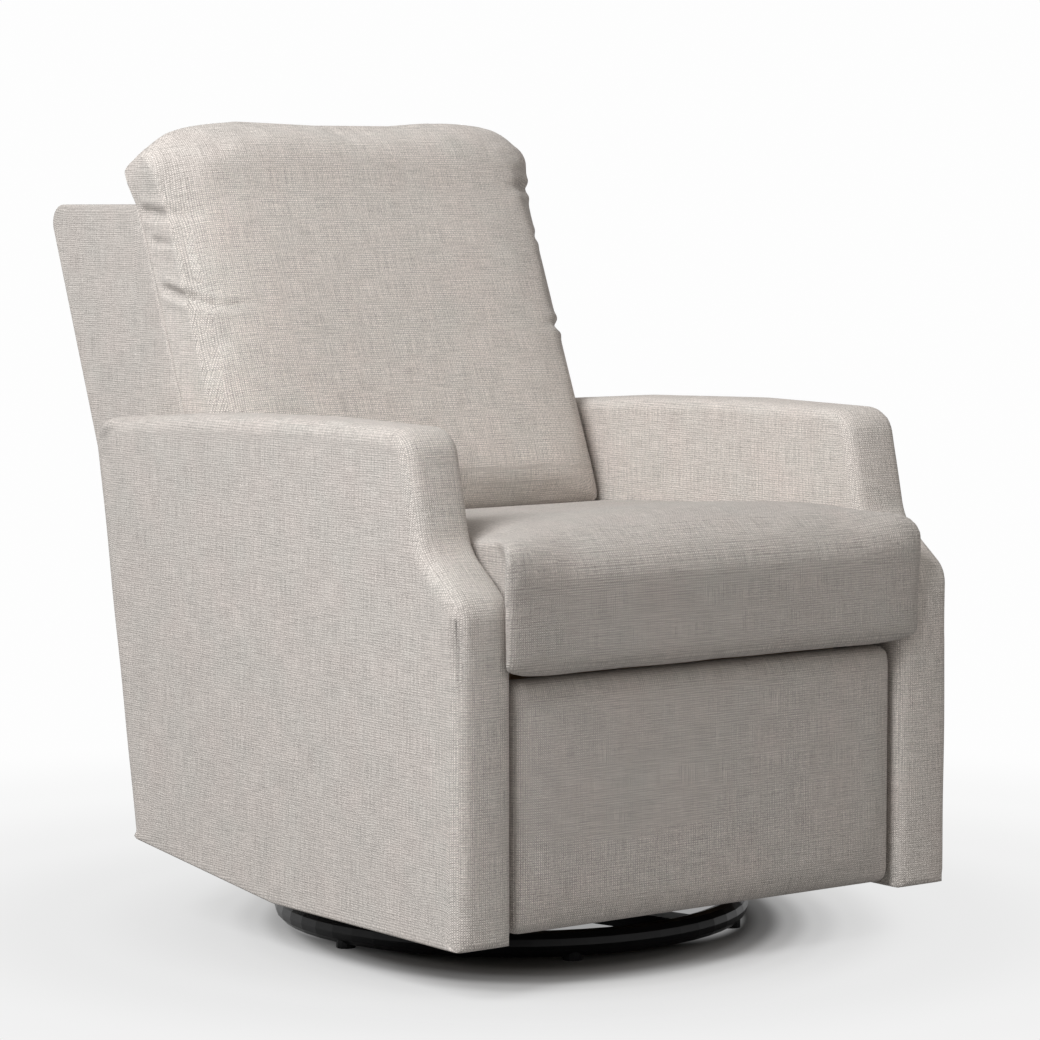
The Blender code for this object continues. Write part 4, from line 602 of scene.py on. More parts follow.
def creased(points, creases, darkness):
    # along each line, -depth * exp(-(d / width)^2), fading to nothing at the line's far end, with a small lip
    # beside it; the shifts are summed, and the deepest gives the painted shade that darkens the crease
    shift, shade = np.zeros(len(points)), np.zeros(len(points))
    for line, width, depth in creases:
        gap, share = nearLine(points, line)
        fade = np.clip((1.0 - share) * crease["fade"], 0.0, 1.0) * smoothStep(share, *crease["start"])
        dent = np.exp(-(gap / width) ** 2) * fade
        lip = np.exp(-((gap - 2.0 * width) / width) ** 2) * fade
        shift -= depth * (dent - crease["lip"] * lip)
        shade = np.maximum(shade, dent * darkness)
    return shift, shade


# arms

arm = {
    "inner": 0.2926,
    "outer": {"arm_left": 0.3755, "arm_right": 0.3710},
    # painted light and shade: the far arm's linen drawn lighter and the near arm's a little darker, for how
    # the light falls on them
    "tones": {"arm_left": 1.10, "arm_right": 0.99},
    "corners": [(-0.497, 0.060, 0.004), (-0.497, 0.447, 0.035), (-0.424, 0.505, 0.060),
                (-0.393, 0.637, 0.035), (-0.183, 0.640, 0.30), (0.037, 0.634, 0.30),
                (0.289, 0.617, 0.032), (0.197, 0.096, 0.010), (-0.120, 0.060, 0.10)],
    "step": 0.006,
    "centre": (-0.10, 0.34),
    "rings": (44, 6, 7),
    "rimInner": 0.014,
    "rimOuter": 0.017,
    "rimHem": 0.0035,
    "hem": (0.3, 0.9),     # how far the outline faces down where the rim narrows to the hem's
    "tucked": 0.99,        # the ends' flat part stays behind the front, which is where the outline faces so
    "bulges": (0.0, 0.002),
    "crown": 0.004,
    "noseTop": 0.075,      # the front's upright edge is rounded below this height
    "wave": 0.0005,
    "waveFrom": (0.08, 0.2),
    # face (0 inner, 1 outer), start and end as (inset from that face, y, z), width, shade
    "darts": ((1, (0.0, -0.3985, 0.6240), (0.0, -0.4085, 0.6030), 0.0026, 0.45),
              (1, (0.0035, -0.4900, 0.4300), (0.0045, -0.4925, 0.3660), 0.0026, 0.55),
              (0, (0.0, -0.4020, 0.6190), (0.0, -0.4200, 0.6010), 0.0026, 0.45)),
    # line on the outer face as (inset, y, z), width, depth
    "creases": ((((0.0, -0.395, 0.632), (0.0, -0.408, 0.600)), 0.006, 0.0022),
                (((0.004, -0.489, 0.440), (0.004, -0.492, 0.36)), 0.006, 0.0020),
                (((0.0, 0.280, 0.593), (0.0, 0.225, 0.617)), 0.007, 0.0045)),
    # painted shade in the arm's creases
    "creaseShade": 0.35,
}


def roundedNose(rings, edge, toward, radius):
    # seen from above, the foot of the front's upright edge is brought onto the arc of the edge over it
    front = arm["corners"][0][0]
    centreX, centreY = edge + toward * radius, front + radius
    offX, offY = rings[..., 0] - centreX, rings[..., 1] - centreY
    gap = np.hypot(offX, offY)
    outside = (offX * toward < 0) & (offY < 0) & (gap > radius) & (rings[..., 2] < arm["noseTop"])
    share = np.where(outside, radius / np.maximum(gap, 1e-9), 1.0)
    rings[..., 0], rings[..., 1] = centreX + offX * share, centreY + offY * share


def unevenness(points, sign):
    # sin(19 y + 1.3 sign) * sin(15 z + 0.7) + 0.6 * sin(37 y + 29 z)
    y, z = points[:, 1], points[:, 2]
    return np.sin(y * 19 + 1.3 * sign) * np.sin(z * 15 + 0.7) + 0.6 * np.sin(y * 37 + z * 29)


def buildArm(name, sign, body):
    # arm outline carried across the arm's width; front and top are crowned by crown * (1 - s^2), the faces
    # move by wave * unevenness and by the creases, and the inner face stays at or outside its plane
    outline = roundedOutline(arm["corners"], arm["step"])
    inward = inwardOf(outline)
    upper = 1.0 - smoothStep(inward[:, 1], *arm["hem"])
    rims = [arm["rimHem"] + (rim - arm["rimHem"]) * upper for rim in (arm["rimInner"], arm["rimOuter"])]
    edges = (arm["inner"], arm["outer"][name])
    rings, poles = sweptRings(outline, dict(arm, xs=edges, rims=rims))
    middle, half = sum(edges) / 2, (edges[1] - edges[0]) / 2
    crown = arm["crown"] * dome((rings[..., 0] - middle) / half) * upper[None]
    rings[..., 1:] -= inward[None] * crown[..., None]
    roundedNose(rings, edges[1], -1.0, arm["rimOuter"])
    roundedNose(rings, edges[0], 1.0, arm["rimInner"])
    rings[..., 0] *= sign
    poles[:, 0] *= sign

    def onFace(face, place):
        return (sign * (edges[face] - place[0]), *place[1:])

    darts = [(onFace(face, start), onFace(face, end), width, shade)
             for face, start, end, width, shade in arm["darts"]]
    creases = [([onFace(1, place) for place in line], width, depth) for line, width, depth in arm["creases"]]
    material = linenMaterial(name + "_linen", 0.37 + 0.1 * sign, darts, arm["tones"][name])
    piece = addShell(name, rings, poles, material)
    points, normals = readPoints(piece.data), readNormals(piece.data)
    # the creases' dents, with painted shade in them for the linen
    shift, shade = creased(points, creases, arm["creaseShade"])
    side = np.abs(normals[:, 0]) * smoothStep(points[:, 2], *arm["waveFrom"])
    shift += arm["wave"] * unevenness(points, sign) * side
    points = points + normals * shift[:, None]
    points[:, 0] = sign * np.maximum(sign * points[:, 0], arm["inner"])
    writePoints(piece.data, points)
    dressed(piece, outline, shade)
    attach(piece, body)
    return piece


armLeft = buildArm("arm_left", 1.0, "chassis")
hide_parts("arm_cover_left", "arm_padding_left")
armRight = buildArm("arm_right", -1.0, "chassis")
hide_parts("arm_cover_right", "arm_padding_right")
print("arms built")


# back, in its own leaning frame: v runs to the rear square to the back, u up along it

lean = {"angle": math.radians(22.0), "y": 0.177, "z": 0.335}


def uprightOf(points):
    # (v, u) -> (y, z)
    v, u = points[..., 0], points[..., 1]
    s, c = math.sin(lean["angle"]), math.cos(lean["angle"])
    return np.stack([lean["y"] + u * s + v * c, lean["z"] + u * c - v * s], -1)


def leaningOf(points):
    # (y, z) -> (v, u)
    y, z = points[..., 0] - lean["y"], points[..., 1] - lean["z"]
    s, c = math.sin(lean["angle"]), math.cos(lean["angle"])
    return np.stack([y * c - z * s, y * s + z * c], -1)


backBox = {
    "halfWidth": 0.2905,
    "front": -0.0895,
    "rear": 0.1215,
    "bottom": 0.018,
    "ledge": 0.889,       # height of the level ledge
    "step": 0.006,
    "rings": (30, 5, 56),
    "rim": 0.0045,
    "middle": (0.015, 0.33),
    "rearBulge": 0.004,
    "rearFrom": (0.09, 0.118),
    "heel": 0.008,        # how much further back the rear's foot stands
    "heelTop": 0.20,
}


def ledgeAt(v):
    # the u at which the ledge's height is met
    return (backBox["ledge"] - lean["z"] + v * math.sin(lean["angle"])) / math.cos(lean["angle"])


def buildBackBox():
    # the back's five-cornered outline carried across; its rear swells by bulge * (1 - x^2)(1 - u^2)
    front, rear, bottom = backBox["front"], backBox["rear"], backBox["bottom"]
    heel = rear + backBox["heel"]
    corners = np.array([(front, bottom, 0.006), (heel, bottom, 0.014), (heel, backBox["heelTop"], 0.40),
                        (rear, ledgeAt(rear), 0.024), (front, ledgeAt(front), 0.006)])
    corners[:, :2] = uprightOf(corners[:, :2])
    outline = roundedOutline(corners, backBox["step"])
    half, middle = backBox["halfWidth"], backBox["middle"]
    form = plainForm((-half, half), backBox["rim"], uprightOf(np.array(middle)), backBox["rings"])
    piece = addShell("back_frame_cover", *sweptRings(outline, form), linenMaterial("back_linen", 0.83))
    points = readPoints(piece.data)
    leaning = leaningOf(points[:, 1:])
    swell = dome(points[:, 0] / half) * dome((leaning[:, 1] - middle[1]) / middle[1])
    leaning[:, 0] += backBox["rearBulge"] * smoothStep(leaning[:, 0], *backBox["rearFrom"]) * swell
    points[:, 1:] = uprightOf(leaning)
    writePoints(piece.data, points)
    dressed(piece, outline)
    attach(piece, "back")
    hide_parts("back_cover")


buildBackBox()
print("back cover built")


pillow = {
    "halfWidth": 0.292,
    "rear": -0.0880,
    "side": -0.149,
    "bottom": 0.144,
    "top": 0.655,
    "step": 0.008,
    "rings": (4, 6, 70),
    "rimRear": 0.004,
    "rimFront": 0.017,
    "rimTop": 0.040,
    "frontFrom": (0.002, 0.030),     # before the rear, where the rim grows to the front's
    "topFrom": (0.045, 0.010),       # below the top, where it grows to the top's
    "crown": 0.030,
    "head": 0.012,
    "headAt": 0.78,        # share of the half height, up from the middle
    "headReach": 0.17,
    "shoulder": 0.030,
    "fill": {"voxel": 0.0062, "pressure": 4.0, "frames": 20, "cap": 0.014, "calm": 5, "stiffness": 0.5},
    "clear": 0.2880,       # half the width that it is held to, between the arms
    "wall": -0.0905,       # its rear stays before this, a little before the back's front
    "overhang": 0.012,     # how far the head leans over the ledge
    "overFrom": (0.890, 0.93),
    "sagAt": (-0.28, -0.25, -0.15, -0.03, 0.09, 0.14, 0.18, 0.22, 0.27),
    "sag": (0.014, 0.011, 0.006, 0.0105, 0.010, 0.006, 0.0040, 0.003, 0.001),
    "sagFrom": (0.54, 0.65),
    "foot": 0.026,         # how much further down the lower end reaches, over "footReach"
    "footReach": 0.10,
    "settle": 0.0095,      # how far its rear goes back towards "seat", where it lies on the back's front
    "seat": -0.0902,
    "bulge": 0.011,        # how far the head stands out at each side
    "bulgeAt": 0.600,
    "bulgeReach": 0.040,
    # line as (x, v, u), width, depth
    "creases": (
        (((-0.290, -0.092, 0.552), (-0.289, -0.135, 0.530), (-0.275, -0.168, 0.518), (-0.245, -0.180, 0.514)),
         0.0070, 0.0045),
        (((-0.290, -0.100, 0.508), (-0.289, -0.130, 0.494), (-0.280, -0.160, 0.482)), 0.0055, 0.0030),
        (((-0.290, -0.096, 0.447), (-0.289, -0.130, 0.425), (-0.281, -0.163, 0.403), (-0.262, -0.172, 0.392),
          (-0.236, -0.178, 0.389), (-0.200, -0.183, 0.394)), 0.0060, 0.0055),
        (((0.290, -0.110, 0.606), (0.284, -0.145, 0.602), (0.255, -0.168, 0.596), (0.225, -0.180, 0.594)),
         0.0060, 0.0050),
        (((0.290, -0.100, 0.566), (0.287, -0.145, 0.560), (0.262, -0.175, 0.552), (0.225, -0.185, 0.548)),
         0.0065, 0.0060),
        (((0.290, -0.100, 0.494), (0.285, -0.150, 0.490), (0.262, -0.170, 0.487)), 0.0055, 0.0035),
        (((0.290, -0.100, 0.366), (0.285, -0.150, 0.362), (0.262, -0.172, 0.357), (0.232, -0.180, 0.354)),
         0.0060, 0.0060)),
    # painted shade in the pillow's creases
    "creaseShade": 0.30,
    # painted shade on the front's turn to the sides, toning down where that rounding faces the key lamp
    "edgeShade": 0.20,     # of the front's turn to the sides
    "edgeAt": 0.62,        # the normal's x there
    "edgeSpread": 0.26,
    "edgeTop": (0.56, 0.62),
}


def fitted(piece, node, turned):
    # stretched along x and the two other directions so that its box is the CAD solid's
    points, solid = readPoints(piece.data), readPoints(cadNodes[node].data)
    if turned:
        points[:, 1:], solid[:, 1:] = leaningOf(points[:, 1:]), leaningOf(solid[:, 1:])
    low, high = points.min(0), points.max(0)
    stretch = (solid.max(0) - solid.min(0)) / (high - low)
    points = solid.min(0) + (points - low) * stretch
    print(node, "stretch", np.round(stretch, 3))
    if turned:
        points[:, 1:] = uprightOf(points[:, 1:])
    writePoints(piece.data, points)


def buildPillow():
    # box outline carried across, its front pushed out by crown * (1 - up^4) * (1 - across^6), where up^12
    # takes the place of up^4 below the middle, so that it stays full to the seat, and by
    # head * exp(-((up - at) / reach)^2) * (1 - across^12); then filled, its top let sag, its foot drawn
    # down, its rear laid on the back, the head's sides spread and all creased
    # the creases and the front's turn to the sides get painted shade
    bottom, top, deep, side = (pillow[k] for k in ("bottom", "top", "rear", "side"))
    corners = np.array([(side, bottom, 0.009), (deep, bottom, 0.008), (deep, top, 0.014), (side, top, 0.022)])
    outline = roundedOutline(corners, pillow["step"])
    half, tall, middle = pillow["halfWidth"], (top - bottom) / 2, (top + bottom) / 2
    ahead = [gap - deep for gap in pillow["frontFrom"]]
    below = [top - gap for gap in pillow["topFrom"]]
    rim = pillow["rimRear"] + (pillow["rimFront"] - pillow["rimRear"]) * smoothStep(-outline[:, 0], *ahead)
    rim = rim + (pillow["rimTop"] - rim) * smoothStep(outline[:, 1], *below)
    rings, poles = sweptRings(outline, plainForm((-half, half), rim, (-0.116, middle), pillow["rings"]))
    across, up = rings[..., 0] / half, (rings[..., 2] - middle) / tall
    forward = np.clip((deep - rings[..., 1]) / (deep - side), 0.0, 1.0)
    head = pillow["head"] * np.exp(-((up - pillow["headAt"]) / pillow["headReach"]) ** 2) * dome(across ** 6)
    crown = pillow["crown"] * dome(np.where(up < 0, up ** 6, up ** 2)) * dome(across ** 3)
    rings[..., 1] -= (crown + head) * forward
    rings[..., 2] -= pillow["shoulder"] * np.abs(across) ** 7 * np.clip(up, 0.0, 1.0) ** 4
    rings[..., 1:], poles[:, 1:] = uprightOf(rings[..., 1:]), uprightOf(poles[:, 1:])
    # tone 1.10 is painted light: the pillow's linen drawn lighter for its face tilted up to the light
    piece = addShell("back_pillow", rings, poles, linenMaterial("pillow_linen", 1.21, tone=1.10))
    swollen(piece, pillow["fill"])
    points = readPoints(piece.data)
    leaning, wall, clear = leaningOf(points[:, 1:]), pillow["wall"], pillow["clear"]
    points[:, 0] = np.clip(points[:, 0], -clear, clear)
    over = pillow["overhang"] * smoothStep(points[:, 2], *pillow["overFrom"])
    leaning[:, 0] = np.minimum(leaning[:, 0], wall) + over * smoothStep(leaning[:, 0], -0.130, wall)
    points[:, 1:] = uprightOf(leaning)
    writePoints(piece.data, points)
    fitted(piece, "back_cushion", True)
    points = readPoints(piece.data)
    leaning = leaningOf(points[:, 1:])
    sag = np.interp(points[:, 0], pillow["sagAt"], pillow["sag"])
    leaning[:, 1] -= sag * smoothStep(leaning[:, 1], *pillow["sagFrom"])
    leaning[:, 1] -= pillow["foot"] * (1.0 - smoothStep(leaning[:, 1], bottom, bottom + pillow["footReach"]))
    behind = leaning[:, 0] + pillow["settle"] * smoothStep(leaning[:, 0], -0.130, -0.100)
    leaning[:, 0] = np.maximum(leaning[:, 0], np.minimum(behind, pillow["seat"]))
    swell = np.exp(-((leaning[:, 1] - pillow["bulgeAt"]) / pillow["bulgeReach"]) ** 2)
    points[:, 0] *= 1.0 + pillow["bulge"] / clear * swell * (np.abs(points[:, 0]) / clear) ** 8
    points[:, 1:] = uprightOf(leaning)
    writePoints(piece.data, points)
    points, normals = readPoints(piece.data), readNormals(piece.data)
    leaning = np.concatenate([points[:, :1], leaningOf(points[:, 1:])], 1)
    shift, shade = creased(leaning, pillow["creases"], pillow["creaseShade"])
    # painted shade on the front's turn to the sides, where its rounding faces the key lamp, and in the
    # creases
    turning = np.exp(-((np.abs(normals[:, 0]) - pillow["edgeAt"]) / pillow["edgeSpread"]) ** 2)
    turning *= smoothStep(-normals[:, 1], 0.1, 0.4) * (1.0 - smoothStep(leaning[:, 2], *pillow["edgeTop"]))
    shade = np.maximum(shade, pillow["edgeShade"] * turning)
    writePoints(piece.data, points + normals * shift[:, None])
    dressed(piece, uprightOf(outline), shade)
    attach(piece, "back")
    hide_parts("back_cushion")


buildPillow()
print("pillow built")


cushion = {
    "halfWidth": 0.290,
    "front": -0.505,
    "rear": 0.084,
    "bottom": 0.370,
    "top": 0.514,
    "step": 0.008,
    "rings": (9, 5, 60),
    "rim": 0.007,
    "rimLow": 0.006,
    "crown": 0.016,
    "rearFall": 0.005,
    "lowRoll": 0.003,
    "fill": {"voxel": 0.0070, "pressure": 4.0, "frames": 20, "cap": 0.012, "calm": 30, "stiffness": 4.0},
    "clear": 0.2885,       # half the width that it is held to, between the arms
    "floor": 0.3660,       # its underside stays above this, where the frame and springs are
    "corner": 0.013,       # how far the upper front corners stand out of the roll
    "cornerAt": (-0.495, 0.497),
    "cornerReach": 0.032,
    "cornerFrom": (0.20, 0.285),
    "lip": 0.0030,         # how far the front's foot hangs towards the footrest
    "ear": 0.024,          # how far the front corners spread before the arms
    "pitch": 0.045,        # fall per length from the crown to the rear
    "pitchFrom": -0.40,
    "pitchRound": 0.05,
    "flat": 0.013,         # how much of the crown is gone behind the front third
    "flatFrom": (-0.42, -0.16),
    "half": 0.289,         # half its width once it is fitted
}


def buildCushion():
    # rounded box carried across, its top raised by crown * (1 - across^2) * (1 - along^4); once filled, it
    # falls by pitch * (sqrt(b^2 + round^2) + b) / 2, b being how far behind "pitchFrom", and by the flat, and
    # its front corners spread by ear * across^10
    front, rear, bottom, top = (cushion[k] for k in ("front", "rear", "bottom", "top"))
    corners = [(front, bottom, 0.010), (front, top, 0.046), (rear, top, 0.014), (rear, bottom, 0.020)]
    outline = roundedOutline(corners, cushion["step"])
    half, middle = cushion["halfWidth"], ((front + rear) / 2, (bottom + top) / 2)
    low = smoothStep(outline[:, 1], bottom, bottom + 0.05)
    rim = cushion["rimLow"] + (cushion["rim"] - cushion["rimLow"]) * low
    rings, poles = sweptRings(outline, plainForm((-half, half), rim, middle, cushion["rings"]))
    across, along = rings[..., 0] / half, (rings[..., 1] - middle[0]) / ((rear - front) / 2)
    high = np.clip((rings[..., 2] - bottom) / (top - bottom), 0.0, 1.0)
    rings[..., 2] += cushion["crown"] * high * dome(across) * dome(along ** 2)
    rings[..., 2] -= cushion["rearFall"] * high * np.clip(along, 0.0, 1.0) ** 6
    rings[..., 1] += cushion["lowRoll"] * (1 - high) ** 2 * np.clip(-along, 0.0, 1.0) ** 6
    # tone 0.86 is painted shade: the seat's linen drawn darker for its shaded front
    piece = addShell("seat_pad", rings, poles, linenMaterial("seat_linen", 1.74, tone=0.86))
    swollen(piece, cushion["fill"])
    points = readPoints(piece.data)
    points[:, 0] = np.clip(points[:, 0], -cushion["clear"], cushion["clear"])
    points[:, 2] = np.maximum(points[:, 2], cushion["floor"])
    writePoints(piece.data, points)
    fitted(piece, "seat_cushion", False)
    points = readPoints(piece.data)
    x, y, z = points.T    # views, so what follows moves the points
    wide = np.abs(x) / cushion["half"]
    ahead = smoothStep(-y, 0.5000 - 0.75 * np.clip(z - 0.445, 0.0, 0.07), 0.5070)
    gap = (y - cushion["cornerAt"][0]) ** 2 + (z - cushion["cornerAt"][1]) ** 2
    corner = np.exp(-gap / cushion["cornerReach"] ** 2) * smoothStep(np.abs(x), *cushion["cornerFrom"])
    y -= cushion["corner"] * corner * 0.6
    z += cushion["corner"] * corner * 0.8
    z -= cushion["lip"] * smoothStep(-y, 0.485, 0.500) * (1.0 - smoothStep(z, 0.366, 0.400))
    x += np.sign(x) * cushion["ear"] * ahead * wide ** 10
    behind = y - cushion["pitchFrom"]
    fall = cushion["pitch"] * (np.sqrt(behind ** 2 + cushion["pitchRound"] ** 2) + behind) / 2
    fall += cushion["flat"] * dome(x / cushion["half"]) * smoothStep(y, *cushion["flatFrom"])
    z -= fall * smoothStep(z, 0.43, 0.50)
    writePoints(piece.data, points)
    dressed(piece, outline)
    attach(piece, "seat_carriage")
    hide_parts("seat_cushion")


buildCushion()
print("seat cushion built")


footrest = {
    "halfWidth": 0.284,
    "front": -0.4935,
    "rear": -0.4560,
    "bottom": 0.070,
    "top": 0.3555,
    "step": 0.006,
    "rings": (3, 5, 80),
    "rim": 0.009,
    "wall": -0.4556,       # its rear stays before this, where the board is
    "fill": {"voxel": 0.0060, "pressure": 1.5, "frames": 12, "cap": 0.006, "calm": 6, "stiffness": 2.0},
}


def buildFootrest():
    # thin rounded box, filled a little so that its face swells
    front, rear, bottom, top = (footrest[k] for k in ("front", "rear", "bottom", "top"))
    corners = [(front, bottom, 0.010), (front, top, 0.014), (rear, top, 0.008), (rear, bottom, 0.008)]
    outline = roundedOutline(corners, footrest["step"])
    half, middle = footrest["halfWidth"], ((front + rear) / 2, (bottom + top) / 2)
    rings, poles = sweptRings(outline, plainForm((-half, half), footrest["rim"], middle, footrest["rings"]))
    # tone 0.92 is painted shade: the footrest's linen drawn darker for its shaded face
    piece = addShell("footrest_cushion", rings, poles, linenMaterial("footrest_linen", 2.31, tone=0.92))
    swollen(piece, footrest["fill"])
    points = readPoints(piece.data)
    points[:, 1] = np.minimum(points[:, 1], footrest["wall"])
    writePoints(piece.data, points)
    fitted(piece, "footrest_pad", False)
    dressed(piece, outline)
    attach(piece, "footrest")
    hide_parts("footrest_pad")


buildFootrest()
print("footrest built")


# panel across the rear, below the back

rearPanel = {"step": 0.005, "rim": 0.007, "round": 0.008, "rings": (3, 4, 60)}


def buildRearPanel():
    # the solid's leaning slab, read from its four corners and rounded
    solid = readPoints(cadNodes["rear_lower_panel"].data)
    low, high = solid.min(0), solid.max(0)
    bottomRear = solid[solid[:, 2] < low[2] + 0.02][:, 1].max()
    topFront = solid[solid[:, 2] > high[2] - 0.02][:, 1].min()
    corners = [(low[1], low[2]), (bottomRear, low[2]), (high[1], high[2]), (topFront, high[2])]
    outline = roundedOutline([(y, z, rearPanel["round"]) for y, z in corners], rearPanel["step"])
    form = plainForm((low[0], high[0]), rearPanel["rim"], outline.mean(0), rearPanel["rings"])
    piece = addShell("rear_skirt", *sweptRings(outline, form), linenMaterial("skirt_linen", 2.9))
    dressed(piece, outline)
    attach(piece, "chassis")
    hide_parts("rear_lower_panel")


buildRearPanel()
print("rear panel built")


# webbing behind the pillow

webbing = {"rows": 5, "columns": 5, "width": 0.050, "thick": 0.0012, "lift": 0.0007}


def buildWebbing():
    # straps over and under: v = middle + lift * cos(pi s / pitch), rows and columns out of step
    solid = readPoints(cadNodes["back_webbing"].data)
    solid[:, 1:] = leaningOf(solid[:, 1:])
    low, high = solid.min(0), solid.max(0)
    middle = (low[1] + high[1]) / 2
    width, thick, lift = webbing["width"], webbing["thick"], webbing["lift"]
    rowAt = np.linspace(low[2], high[2] - width, webbing["rows"]) + width / 2
    columnAt = np.linspace(low[0], high[0] - width, webbing["columns"]) + width / 2
    profile = np.array([(-0.5, -0.5), (0.5, -0.5), (0.5, 0.5), (-0.5, 0.5)]) * (width, thick)
    run = np.linspace(0.0, 1.0, 61)
    allPoints, allQuads, count = [], [], 0
    for number, at in enumerate(list(rowAt) + list(columnAt)):
        isRow = number < len(rowAt)
        index = number if isRow else number - len(rowAt)
        ends, crossings = ((low[0], high[0]), columnAt) if isRow else ((low[2], high[2]), rowAt)
        path = ends[0] + (ends[1] - ends[0]) * run
        pitch = crossings[1] - crossings[0]
        sign = (1.0 if isRow else -1.0) * (1.0 if index % 2 else -1.0)
        depth = middle + sign * lift * np.cos(math.pi * (path - crossings[0]) / pitch)
        along = np.broadcast_to(path[:, None], (len(path), 4))
        side = np.broadcast_to(at + profile[:, 0], (len(path), 4))
        v = depth[:, None] + profile[None, :, 1]
        strap = np.stack([along, v, side] if isRow else [side, v, along], -1)
        if not isRow:
            strap = strap[:, ::-1]
        grid = count + np.arange(strap.shape[0] * 4).reshape(-1, 4)
        onward = np.roll(grid, -1, 1)
        allQuads.append(np.stack([grid[:-1], onward[:-1], onward[1:], grid[1:]], -1).reshape(-1, 4))
        allQuads.append(np.stack([grid[0, ::-1], grid[-1]]))
        allPoints.append(strap.reshape(-1, 3))
        count += strap.shape[0] * 4
    points, quads = np.concatenate(allPoints), np.concatenate(allQuads)
    points[:, 1:] = uprightOf(points[:, 1:])
    if signedVolume(points, np.concatenate([quads[:, :3], quads[:, [0, 2, 3]]])) < 0:
        quads = quads[:, ::-1]
    mesh = meshFromFaces("back_straps", points, quads)
    mesh.shade_flat()
    piece = addPiece("back_straps", mesh, strapMaterial("black_webbing"))
    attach(piece, "back")
    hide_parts("back_webbing")


buildWebbing()
print("webbing built")


# floor, light and camera

studio = {
    "floorTone": 0.72,
    "floorBounce": 0.34,   # tone of the floor in the light that it throws back
    "size": 14.0,
    "swivel": (0.0, -0.103, 0.0),
    "reach": 1.60,         # distance from the swivel where the floor has become plain white
    "across": (1.077, -0.814, 0.0),      # the contact shadow's short and long directions on the floor
    "toward": (-0.603, -0.798, 0.0),
    "shift": 0.04,         # of that shadow, across
    # painted light: the glow's share over the oval, none at the ring, where the real shadow shows, and full
    # further out, where the glow hides the real shadows
    "glowShare": ((0.31, 0.0), (0.350, 0.02), (0.390, 0.12), (0.430, 0.42), (0.475, 0.68), (0.53, 0.85),
                  (0.63, 1.0)),
    # painted contact shadow, darkening the floor towards the ring
    "paintedContactShadow": ((0.30, 0.30), (0.36, 0.60), (0.44, 1.0)),
    # the glow's grey, a painted shade darker near the object and white far off
    "glowTone": ((0.40, 0.76), (0.56, 0.82), (0.80, 0.88), (1.15, 0.935), (1.60, 0.985)),
    # painted light on the floor inside the ring, where the chair's shade falls
    "inside": 0.45,        # the share of the glow on the floor inside the ring, on its far half
    "insideEdge": (0.27, 0.30),
    "insideHalf": (0.08, 0.19),
    "white": 0.985,
    "ambient": 0.31,
    "ambientTint": (1.0, 0.960, 0.915, 1.0),
    "key": {"toward": (-0.72, -0.20, 0.665), "distance": 4.2, "size": 2.2, "value": 0.93,
            "tint": (0.99, 1.0, 1.01)},
    "fill": {"toward": (0.15, -0.80, 0.58), "distance": 4.0, "size": 1.8, "value": 0.10,
             "tint": (1.0, 0.97, 0.94)},
    "aim": (0.0, -0.1, 0.42),
}


def rampOf(tree, distance, stops):
    # a grey ramp over the distance, from (distance, grey) stops
    node = tree.nodes.new("ShaderNodeValToRGB")
    node.color_ramp.interpolation = "EASE"
    places = node.color_ramp.elements
    places.remove(places[1])
    places[0].position = stops[0][0] / studio["reach"]
    places[0].color = (stops[0][1],) * 3 + (1.0,)
    for at, grey in stops[1:]:
        places.new(at / studio["reach"]).color = (grey,) * 3 + (1.0,)
    tree.links.new(times(tree, distance, 1.0 / studio["reach"]), node.inputs["Fac"])
    return node.outputs["Color"]


def floorMaterial():
    # pale floor with painted light and shade: a painted contact shadow close to the object, and further out a
    # glow that hides the real shadows and fades to plain white away from it
    material, tree, shader = newMaterial("studio_floor")
    tree.nodes.remove(shader)
    place = objectPlace(tree)
    fromSwivel = stretched(tree, place, (1.0, 1.0, 0.0), tuple(-k for k in studio["swivel"]))
    distance = vectorNode(tree, "LENGTH", fromSwivel)
    toward = vectorNode(tree, "DOT_PRODUCT", fromSwivel, studio["toward"])
    across = vectorNode(tree, "DOT_PRODUCT", fromSwivel, studio["across"])
    shifted = mathNode(tree, "SUBTRACT", across, studio["shift"])
    oval = wired(tree, tree.nodes.new("ShaderNodeCombineXYZ"), {0: shifted, 1: toward})
    ovalDistance = vectorNode(tree, "LENGTH", oval.outputs[0])
    # painted light inside the ring, on its far half, where the chair's shade falls
    withinRing = stepNode(tree, distance, *studio["insideEdge"], studio["inside"], 0.0)
    inside = times(tree, withinRing, stepNode(tree, toward, *studio["insideHalf"], 1.0, 0.0))
    seen = whiteRays(tree)
    # painted light: the glow's share, which hides the real shadows outside the oval
    shareAround = rampOf(tree, ovalDistance, studio["glowShare"])
    share = times(tree, mathNode(tree, "MAXIMUM", shareAround, inside), seen)
    speck = plus(tree, swing(tree, noiseOn(tree, place, 6.0, 4.0), 0.02), 1.0)
    bounce = studio["floorBounce"]
    tone = plus(tree, times(tree, seen, studio["floorTone"] - bounce), bounce)
    # painted contact shadow, darkening the floor's own shade towards the ring
    paintedContactShadow = rampOf(tree, ovalDistance, studio["paintedContactShadow"])
    shade = times(tree, times(tree, tone, paintedContactShadow), speck)
    diffuse = wired(tree, tree.nodes.new("ShaderNodeBsdfDiffuse"), {"Color": shade})
    # the glow is painted light, darker grey near the object as painted shade and white far off
    glowTone = rampOf(tree, distance, studio["glowTone"])
    glow = wired(tree, tree.nodes.new("ShaderNodeEmission"), {"Color": glowTone})
    mixedShaders(tree, share, diffuse.outputs[0], glow.outputs[0], tree.nodes["Material Output"])
    return material


def whiteRays(tree):
    # 1 for rays from the camera, mirrors and glass
    rays = tree.nodes.new("ShaderNodeLightPath")
    seen = mathNode(tree, "MAXIMUM", rays.outputs["Is Camera Ray"], rays.outputs["Is Glossy Ray"])
    return mathNode(tree, "MAXIMUM", seen, rays.outputs["Is Transmission Ray"])


